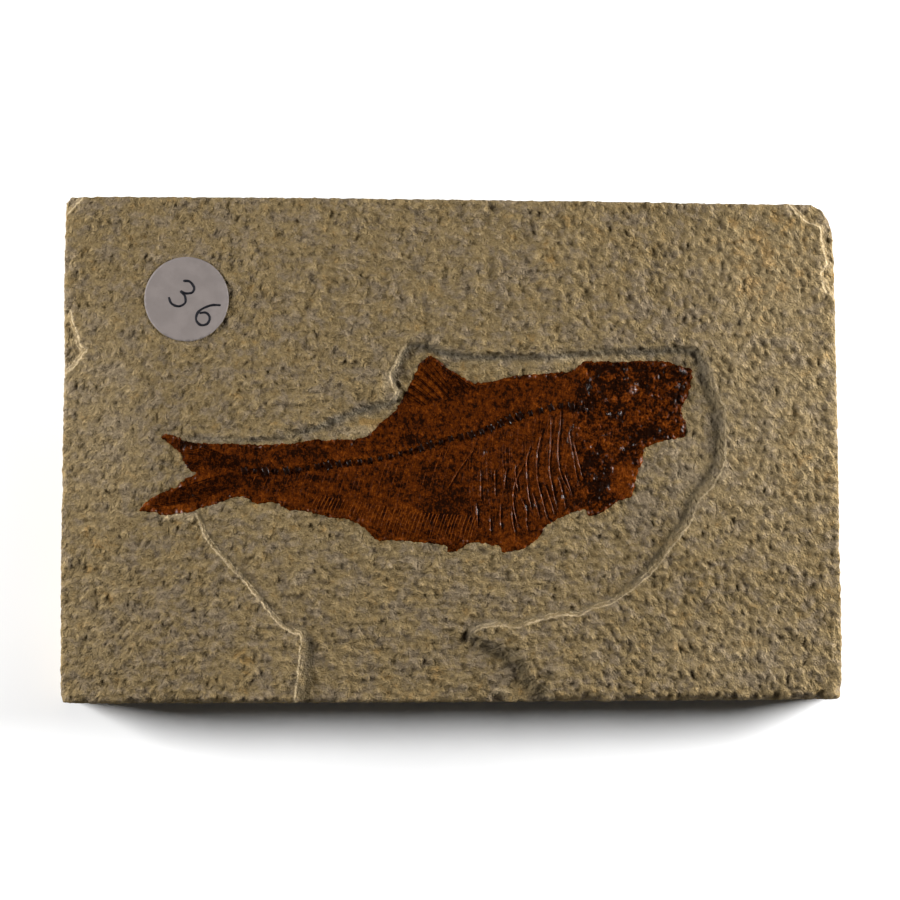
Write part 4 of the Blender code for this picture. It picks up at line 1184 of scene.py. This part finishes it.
def tube(tree, curve, thin, radius):
    """A closed tube along a curve, with the radius times thin."""
    ring = add(tree, "GeometryNodeCurvePrimitiveCircle", resolution=TUBE_SIDES, radius=1.0)
    return add(tree, "GeometryNodeCurveToMesh", curve=curve, profile_curve=ring.outputs["Curve"],
               scale=calc(tree, "MULTIPLY", thin, radius), fill_caps=True).outputs[0]


def end_tree(tree, end, geometry, material):
    """Makes the instances real, gives them their material and joins them to the end of the tree."""
    whole = add(tree, "GeometryNodeRealizeInstances", geometry=geometry)
    finished = add(tree, "GeometryNodeSetMaterial", geometry=whole.outputs[0], material=material)
    tree.links.new(finished.outputs[0], end.inputs[0])


def rods_tree():
    """Rods spread along three guide curves, for where they start, bend and end."""
    inputs = [("Skin", "Object"), ("Count", "Int"), ("Steps", "Int"), ("Radius", "Float"), ("Taper", "Float"),
              ("Proud", "Float"), ("Dip", "Float"), ("Uneven", "Float"), ("Seed", "Int"), ("Material", "Material")]
    tree, start, end = new_tree("rods_across_guides", inputs)
    value = {socket.name: socket for socket in start.outputs}
    total = calc(tree, "MULTIPLY", value["Count"], value["Steps"])
    points = add(tree, "GeometryNodePoints", count=total)
    index = add(tree, "GeometryNodeInputIndex").outputs["Index"]
    rod = calc(tree, "FLOOR", calc(tree, "DIVIDE", calc(tree, "ADD", index, 0.5), value["Steps"]))
    step = calc(tree, "SUBTRACT", index, calc(tree, "MULTIPLY", rod, value["Steps"]))
    share = calc(tree, "DIVIDE", step, calc(tree, "SUBTRACT", value["Steps"], 1.0))
    loose = calc(tree, "MULTIPLY", chance(tree, min=-1.0, max=1.0, id=rod, seed=value["Seed"]), value["Uneven"])
    where = calc(tree, "DIVIDE", calc(tree, "ADD", rod, loose), calc(tree, "SUBTRACT", value["Count"], 1.0))
    where = calc(tree, "MINIMUM", calc(tree, "MAXIMUM", where, 0.0), 1.0)
    guides = []
    for number in range(3):
        guide = add(tree, "GeometryNodeSampleCurve", {"mode": "FACTOR", "use_all_curves": False},
                    curves=value["Geometry"], factor=where, curve_index=number)
        guides.append(guide.outputs["Position"])
    left = calc(tree, "SUBTRACT", 1.0, share)
    first = calc(tree, "MULTIPLY", left, calc(tree, "SUBTRACT", left, share))
    middle = calc(tree, "MULTIPLY", calc(tree, "MULTIPLY", left, share), 4.0)
    last = calc(tree, "MULTIPLY", share, calc(tree, "SUBTRACT", share, left))
    place = summed(tree, summed(tree, scaled(tree, guides[0], first), scaled(tree, guides[1], middle)),
                   scaled(tree, guides[2], last))
    place = on_skin(tree, place, value["Skin"], value["Proud"], value["Dip"])
    points = add(tree, "GeometryNodeSetPosition", geometry=points.outputs[0], position=place)
    rods = add(tree, "GeometryNodePointsToCurves", points=points.outputs[0], curve_group_id=rod, weight=step)
    along = add(tree, "GeometryNodeSplineParameter").outputs["Factor"]
    thin = calc(tree, "SUBTRACT", 1.0, calc(tree, "MULTIPLY", calc(tree, "POWER", along, 2.0), value["Taper"]))
    end_tree(tree, end, tube(tree, rods.outputs[0], thin, value["Radius"]), value["Material"])
    return tree


RODS = rods_tree()
print("tree", RODS.name, len(RODS.nodes), "nodes")

# %% [markdown]
# A tree does nothing until it sits on an object as a modifier. The helper below draws the guide curves, sets the
# inputs by the identifiers of their sockets, evaluates the modifier once, and keeps the result as a plain mesh.

# %% Run a tree and keep its mesh
GUIDE_LEVEL = 13.0
ROD_TAPER = 0.6


def guide_object(name, lines):
    """A curve object with one poly spline for each line, in metres."""
    data = bpy.data.curves.new(name, "CURVE")
    data.dimensions = "3D"
    for line in lines:
        spline = data.splines.new("POLY")
        spline.points.add(len(line) - 1)
        for point, corner in zip(spline.points, line):
            point.co = (corner[0] * MM, corner[1] * MM, GUIDE_LEVEL * MM, 1.0)
    guide = bpy.data.objects.new(name, data)
    bpy.context.scene.collection.objects.link(guide)
    return guide


def grow(name, tree, lines, **inputs):
    """Runs a tree on guide lines and keeps the mesh that it makes as a piece, without the modifier."""
    guide = guide_object(name + "_guide", lines)
    modifier = guide.modifiers.new("grow", "NODES")
    modifier.node_group = tree
    for item in tree.interface.items_tree:
        label = item.name.lower().replace(" ", "_")
        if item.in_out == "INPUT" and label in inputs:
            modifier[item.identifier] = inputs[label]
    guide.update_tag()
    graph = bpy.context.evaluated_depsgraph_get()
    mesh = bpy.data.meshes.new_from_object(guide.evaluated_get(graph), depsgraph=graph)
    guide.modifiers.remove(modifier)
    bpy.data.objects.remove(guide)
    mesh.name = name
    mesh.shade_smooth()
    piece = bpy.data.objects.new(name, mesh)
    bpy.context.scene.collection.objects.link(piece)
    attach(piece, BODY)
    print(name, len(mesh.polygons), "faces")


def rods(name, guides, count, radius, seed, proud=0.0, dip=0.1, uneven=0.25, steps=26, material=bone_material):
    """A row of rods across three guide lines. Lengths are in mm."""
    grow(name, RODS, guides, skin=skin, count=count, steps=steps, radius=radius * MM, taper=ROD_TAPER,
         proud=proud * MM, dip=dip * MM, uneven=uneven, seed=seed, material=material)


def lines_tree():
    """Bones laid along lines, thick in the middle and thin at both ends."""
    inputs = [("Skin", "Object"), ("Steps", "Int"), ("Radius", "Float"), ("Taper", "Float"), ("Proud", "Float"),
              ("Dip", "Float"), ("Material", "Material")]
    tree, start, end = new_tree("bones_along_lines", inputs)
    value = {socket.name: socket for socket in start.outputs}
    spaced = add(tree, "GeometryNodeResampleCurve", curve=value["Geometry"], count=value["Steps"])
    place = add(tree, "GeometryNodeInputPosition").outputs["Position"]
    laid = add(tree, "GeometryNodeSetPosition", geometry=spaced.outputs[0],
               position=on_skin(tree, place, value["Skin"], value["Proud"], value["Dip"]))
    along = add(tree, "GeometryNodeSplineParameter").outputs["Factor"]
    middle = calc(tree, "ABSOLUTE", calc(tree, "SUBTRACT", calc(tree, "MULTIPLY", along, 2.0), 1.0))
    thin = calc(tree, "SUBTRACT", 1.0, calc(tree, "MULTIPLY", calc(tree, "POWER", middle, 3.0), value["Taper"]))
    end_tree(tree, end, tube(tree, laid.outputs[0], thin, value["Radius"]), value["Material"])
    return tree


grow("ribs", lines_tree(), [smooth(line, 0.6) for line in RIB_LINES], skin=skin, steps=34, radius=0.155 * MM, taper=0.7,
     proud=0.02 * MM, dip=0.14 * MM, material=glossy_material)

# %% [markdown]
# Between and behind the ribs lie finer bones, in rows. Three guide lines and a number give a whole row. The guides
# follow the backbone, so the rods fan out from it as they do in the fish.

# %% Finer bones
rib_x = np.linspace(4.5, 28.0, 9)
rods("fine_ribs",
     [[(x, spine_at(x) - 1.1) for x in rib_x],
      [(x - 0.9 + 0.05 * index, spine_at(x) - 12.0 + 0.35 * index) for index, x in enumerate(rib_x)],
      [(x + 1.0 + 0.1 * index, low) for index, (x, low) in enumerate(zip(
          rib_x, (-20.4, -20.9, -21.4, -20.9, -19.0, -16.9, -14.9, -14.2, -12.2)))]],
     count=25, radius=0.10, proud=-0.05, dip=0.09, seed=3, uneven=0.7, steps=40)
back_x = np.linspace(-44.0, 6.0, 9)
reach_down = 5.2 + 8.6 * ease(back_x, -40.0, -12.0)
rods("haemal_spines",
     [[(x, spine_at(x) - 1.0) for x in back_x],
      [(x - 0.20 * down, spine_at(x) - 1.0 - 0.5 * down) for x, down in zip(back_x, reach_down)],
      [(x - 0.30 * down, spine_at(x) - 1.0 - down) for x, down in zip(back_x, reach_down)]],
     count=27, radius=0.10, proud=-0.04, dip=0.10, seed=5, uneven=0.5, material=bone_material)
reach_up = 4.2 + 6.4 * ease(back_x, -24.0, -4.0)
rods("neural_spines",
     [[(x + 0.6, spine_at(x) + 1.0) for x in back_x],
      [(x + 0.3 - 0.26 * up, spine_at(x) + 1.1 + 0.4 * up) for x, up in zip(back_x, reach_up)],
      [(x + 0.2 - 0.5 * up, spine_at(x) + 1.2 + 0.75 * up) for x, up in zip(back_x, reach_up)]],
     count=27, radius=0.08, proud=-0.03, dip=0.09, seed=6, material=dark_material)

# %% [markdown]
# Rays start close together at the foot of a fin and spread towards its edge. Three guide lines give that too.

# %% Fin rays
rods("dorsal_fin_rays",
     [[(5.3, 14.3), (2.5, 12.9), (-0.5, 11.8), (-3.4, 11.3), (-6.4, 10.0)],
      [(2.2, 16.2), (-0.9, 15.9), (-3.4, 15.4), (-5.6, 14.2), (-8.0, 11.2)],
      [(-1.6, 18.9), (-4.8, 20.6), (-6.7, 18.8), (-8.3, 15.8), (-10.2, 12.5)]],
     count=16, radius=0.12, proud=0.04, seed=7, uneven=0.5, material=dark_material)
rods("upper_tail_rays",
     [[(-47.6, -3.0), (-48.6, -4.6)],
      [(-55.0, 0.6), (-54.6, -3.2)],
      [(-63.6, 2.8), (-57.8, -4.6)]],
     count=14, radius=0.13, proud=0.02, seed=8, material=dark_material)
rods("lower_tail_rays",
     [[(-48.6, -4.8), (-47.6, -6.6)],
      [(-55.4, -6.6), (-55.0, -10.4)],
      [(-61.4, -8.6), (-68.2, -13.0)]],
     count=16, radius=0.13, proud=0.02, seed=9, material=dark_material)
rods("anal_fin_rays",
     [[(-30.0, -10.2), (-20.0, -11.6), (-8.0, -14.0), (6.0, -14.8)],
      [(-31.0, -11.9), (-21.1, -14.0), (-9.2, -17.0), (5.0, -17.6)],
      [(-31.6, -13.6), (-22.0, -15.6), (-10.4, -20.0), (4.2, -20.6)]],
     count=44, radius=0.11, proud=0.0, seed=10, material=pale_material)

# %% [markdown]
# ## The backbone
#
# Each vertebra is a short spool: wide at both ends and narrow in the middle. The tree makes one spool, sets a copy at
# even steps along the curve of the back and turns it along the curve.

# %% A tree that strings vertebrae on a curve
VERTEBRAE = 34
# How far a vertebra may lean either way, in radians.
LEAN = (-0.22, 0.34)


def vertebrae_tree():
    """Spools at even steps along a curve, each turned along it and a little larger or smaller than the next."""
    inputs = [("Skin", "Object"), ("Count", "Int"), ("Length", "Float"), ("Radius", "Float"), ("Depth", "Float"),
              ("Waist", "Float"), ("Proud", "Float"), ("Uneven", "Float"), ("Seed", "Int"),
              ("Material", "Material")]
    tree, start, end = new_tree("vertebrae_on_a_curve", inputs)
    value = {socket.name: socket for socket in start.outputs}
    spaced = add(tree, "GeometryNodeResampleCurve", curve=value["Geometry"], count=value["Count"])
    place = add(tree, "GeometryNodeInputPosition").outputs["Position"]
    spaced = add(tree, "GeometryNodeSetPosition", geometry=spaced.outputs[0],
                 position=on_skin(tree, place, value["Skin"], value["Proud"]))
    spool = add(tree, "GeometryNodeMeshCylinder", vertices=10, side_segments=6, radius=1.0, depth=1.0)
    local = add(tree, "ShaderNodeSeparateXYZ", vector=add(tree, "GeometryNodeInputPosition").outputs["Position"])
    end_on = calc(tree, "ABSOLUTE", calc(tree, "MULTIPLY", local.outputs["Z"], 2.0))
    wide = calc(tree, "ADD", value["Waist"], calc(tree, "MULTIPLY", calc(tree, "POWER", end_on, 2.0),
                                                  calc(tree, "SUBTRACT", 1.0, value["Waist"])))
    turned = add(tree, "ShaderNodeCombineXYZ", x=local.outputs["Z"],
                 y=calc(tree, "MULTIPLY", local.outputs["X"], wide), z=calc(tree, "MULTIPLY", local.outputs["Y"], wide))
    spool = add(tree, "GeometryNodeSetPosition", geometry=spool.outputs["Mesh"], position=turned.outputs["Vector"])
    tangent = add(tree, "GeometryNodeInputTangent").outputs["Tangent"]
    facing = add(tree, "FunctionNodeAlignRotationToVector", {"axis": "X"}, vector=tangent)
    lean = chance(tree, min=LEAN[0], max=LEAN[1], seed=value["Seed"])
    turn = add(tree, "FunctionNodeAxisAngleToRotation", axis=(0.0, 0.0, 1.0), angle=lean)
    facing = add(tree, "FunctionNodeRotateRotation", rotation=facing.outputs[0], rotate_by=turn.outputs[0])
    bigger = chance(tree, min=calc(tree, "SUBTRACT", 1.0, value["Uneven"]),
                    max=calc(tree, "ADD", 1.0, value["Uneven"]), seed=value["Seed"])
    size = add(tree, "ShaderNodeCombineXYZ", x=calc(tree, "MULTIPLY", value["Length"], bigger),
               y=calc(tree, "MULTIPLY", value["Radius"], bigger), z=value["Depth"])
    strung = add(tree, "GeometryNodeInstanceOnPoints", points=spaced.outputs[0], instance=spool.outputs[0],
                 rotation=facing.outputs[0], scale=size.outputs["Vector"])
    end_tree(tree, end, strung.outputs[0], value["Material"])
    return tree


grow("backbone", vertebrae_tree(), [SPINE[4:]], skin=skin, count=VERTEBRAE, length=1.05 * MM,
     radius=1.12 * MM, depth=0.40 * MM, waist=0.65, proud=-0.05 * MM, uneven=0.30, seed=4,
     material=spine_material)

# %% [markdown]
# ## The sticker
#
# Collectors number their stones on round paper labels. The paper is thin and lifts a little at one side, so it gets
# a top and an underside of its own, with a rim between them.

# %% Paper
PAPER = 0.12
PAPER_LEVEL = 0.16
PAPER_LIFT = 0.30


def paper_height(points):
    """Top of the paper: flat where it sticks, lifted towards the lower right rim."""
    gap = (points - STICKER_CENTRE) / STICKER_RADIUS
    out = np.hypot(*gap.T)
    lifted = ease(gap @ np.array((0.85, -0.52)), 0.2, 1.0) * ease(out, 0.5, 1.0)
    ripple = 0.05 * lumps(points, 5.0, 111.0) + 0.02 * lumps(points, 2.0, 112.0)
    return STONE_TOP + PAPER_LEVEL + ripple + PAPER_LIFT * lifted + 0.05 * ease(out, 0.85, 1.0)


turns = np.linspace(0.0, 2.0 * math.pi, 180, endpoint=False)
disc = STICKER_CENTRE + STICKER_RADIUS * np.stack([np.cos(turns), np.sin(turns)], axis=1)
disc += 0.03 * np.stack([lumps(disc, 1.4, 113.0), lumps(disc, 1.4, 114.0)], axis=1)
flat, faces = triangulate(disc, [], scatter(disc, 0.7, 14))
ring = np.array(border(faces))
height = paper_height(flat)
upper = np.column_stack([flat, height])
lower = np.column_stack([flat, height - PAPER])
count = len(flat)
paper_faces = faces.tolist() + (faces[:, ::-1] + count).tolist() + wall(ring, ring + count)
sticker = make_piece("sticker_paper", np.vstack([upper, lower]), paper_faces)
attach(sticker, BODY)
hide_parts("number_sticker")


def paper():
    """Matt paper with a faint grain."""
    material, tree, shader, place = recipe("sticker_paper")
    fibres = noise(tree, place, 0.5, 4.0, 0.7)
    clouds = noise(tree, place, 4.0, 3.0, 0.6)
    colour = tint(tree, between(tree, clouds, 0.35, 0.65), (0.158, 0.136, 0.127), (0.180, 0.155, 0.145))
    colour = tint(tree, between(tree, fibres, 0.55, 0.75, 0.0, 0.35), colour, (0.125, 0.107, 0.099))
    surface(tree, shader, colour, 0.8, 0.2)
    bump(tree, shader, fibres, 0.03)
    return material


sticker.data.materials.append(paper())

# %% [markdown]
# The pen strokes are ribbons of ink a few hundredths of a millimetre thick, laid on the paper. Each digit is drawn in
# a box one unit high, then turned to lie across the label.

# %% Ink
PEN = 0.26
INK_TOP, INK_FOOT = 0.02, -0.05
DIGIT_HEIGHT = 6.4
DIGITS_TURNED = math.radians(-38.0)
THREE = [(0.05, 0.88), (0.25, 1.0), (0.5, 0.93), (0.55, 0.75), (0.38, 0.58), (0.22, 0.54), (0.42, 0.5), (0.58, 0.32),
         (0.48, 0.08), (0.22, 0.0), (0.0, 0.12)]
SIX = [(0.5, 0.98), (0.25, 0.78), (0.08, 0.5), (0.03, 0.25), (0.15, 0.03), (0.38, 0.0), (0.53, 0.18), (0.46, 0.4),
       (0.26, 0.45), (0.08, 0.3)]


def stroke(corners, centre):
    """A flat ribbon along a smooth line, with its points in mm on the paper."""
    line = smooth((np.array(corners) - (0.28, 0.5)) * DIGIT_HEIGHT, 0.15)
    turn = np.array([(math.cos(DIGITS_TURNED), math.sin(DIGITS_TURNED)),
                     (-math.sin(DIGITS_TURNED), math.cos(DIGITS_TURNED))])
    line = line @ turn + centre
    run = np.gradient(line, axis=0)
    side = np.stack([-run[:, 1], run[:, 0]], axis=1) / np.hypot(*run.T)[:, None]
    pressed = PEN * (1.0 + 0.25 * lumps(line, 1.2, 121.0)) * ease(np.minimum(
        np.arange(len(line)), np.arange(len(line))[::-1]) + 1.5, 0.0, 3.0)
    return line + side * pressed[:, None], line - side * pressed[:, None]


ink_points = []
ink_faces = []
for digit, centre in ((THREE, (-60.6, 35.3)), (SIX, (-54.8, 31.1))):
    left, right = stroke(digit, np.array(centre))
    first = len(ink_points)
    span = len(left)
    for level in (INK_TOP, INK_FOOT):
        for side in (left, right):
            ink_points += np.column_stack([side, paper_height(side) + level]).tolist()
    corner = [first + span * number for number in range(4)]
    for index in range(span - 1):
        for a, b in ((1, 0), (0, 2), (2, 3), (3, 1)):
            ink_faces.append([corner[a] + index, corner[a] + index + 1, corner[b] + index + 1, corner[b] + index])
    for index in (0, span - 1):
        ink_faces.append([corner[a] + index for a in (0, 1, 3, 2)][:: 1 if index == 0 else -1])
ink = make_piece("sticker_number", ink_points, ink_faces)
face_outwards(ink)
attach(ink, BODY)


def pen_ink():
    """Dark ink, a little patchy."""
    material, tree, shader, place = recipe("pen_ink")
    patchy = noise(tree, place, 0.4, 2.0, 0.5)
    colour = tint(tree, between(tree, patchy, 0.3, 0.7), (0.004, 0.004, 0.006), (0.010, 0.010, 0.013))
    surface(tree, shader, colour, 0.7, 0.1)
    return material


ink.data.materials.append(pen_ink())

# %% [markdown]
# ## Camera, floor and light
#
# The camera looks straight down through a long lens, so the sides don't show. Two soft lights stand low at the upper
# left and the upper right. Light that rakes across a surface is what makes relief readable.

# %% Stage
PIXEL = 0.225
VIEW_WIDTH = 900 * PIXEL
CAMERA_HEIGHT = 1100.0
CAMERA_AIM = (-0.225, 0.06)
SENSOR_WIDTH = 36.0
ROOM_LIGHT = 0.030

camera = bpy.data.objects.new("camera", bpy.data.cameras.new("camera"))
camera.location = Vector((*CAMERA_AIM, STONE_TOP + CAMERA_HEIGHT)) * MM
camera.data.sensor_width = SENSOR_WIDTH
camera.data.lens = SENSOR_WIDTH * CAMERA_HEIGHT / VIEW_WIDTH
camera.data.clip_end = 20.0
bpy.context.scene.collection.objects.link(camera)
bpy.context.scene.camera = camera


def soft_light(name, place, size, watts):
    """A soft box at a place in mm, turned to the middle of the slab's underside."""
    data = bpy.data.lights.new(name, "AREA")
    data.shape = "RECTANGLE"
    data.size, data.size_y = size[0] * MM, size[1] * MM
    data.energy = watts
    light = bpy.data.objects.new(name, data)
    light.location = Vector(place) * MM
    light.rotation_euler = (-Vector(place)).to_track_quat("-Z", "Y").to_euler()
    bpy.context.scene.collection.objects.link(light)


soft_light("left_light", (-557.0, 94.0, 150.0), (188.0, 294.0), 9.1)
soft_light("right_light", (500.0, 103.0, 140.0), (206.0, 273.0), 10.2)

world = bpy.data.worlds.new("room")
world.use_nodes = True
world.node_tree.nodes["Background"].inputs["Color"].default_value = (1.0, 1.0, 1.0, 1.0)
world.node_tree.nodes["Background"].inputs["Strength"].default_value = ROOM_LIGHT
bpy.context.scene.world = world
bpy.context.scene.view_settings.view_transform = "Standard"
bpy.context.scene.view_settings.look = "None"

# %% [markdown]
# The floor is a plain pale sheet that only catches the shadow. It is stage and no part of the object.

# %% Floor
FLOOR_REACH = 1500.0
FLOOR_LEVEL = -0.05


def floor_material():
    """Pale paper, a little uneven."""
    material, tree, shader, place = recipe("pale_floor")
    clouds = noise(tree, place, 60.0, 2.0, 0.5)
    colour = tint(tree, between(tree, clouds, 0.3, 0.7), (0.88, 0.88, 0.88), (0.92, 0.92, 0.92))
    surface(tree, shader, colour, 0.9)
    return material


corners = [(x * FLOOR_REACH, y * FLOOR_REACH, FLOOR_LEVEL) for x, y in ((-1, -1), (1, -1), (1, 1), (-1, 1))]
floor = make_piece("floor", corners, [(0, 1, 2, 3)])
floor.data.materials.append(floor_material())
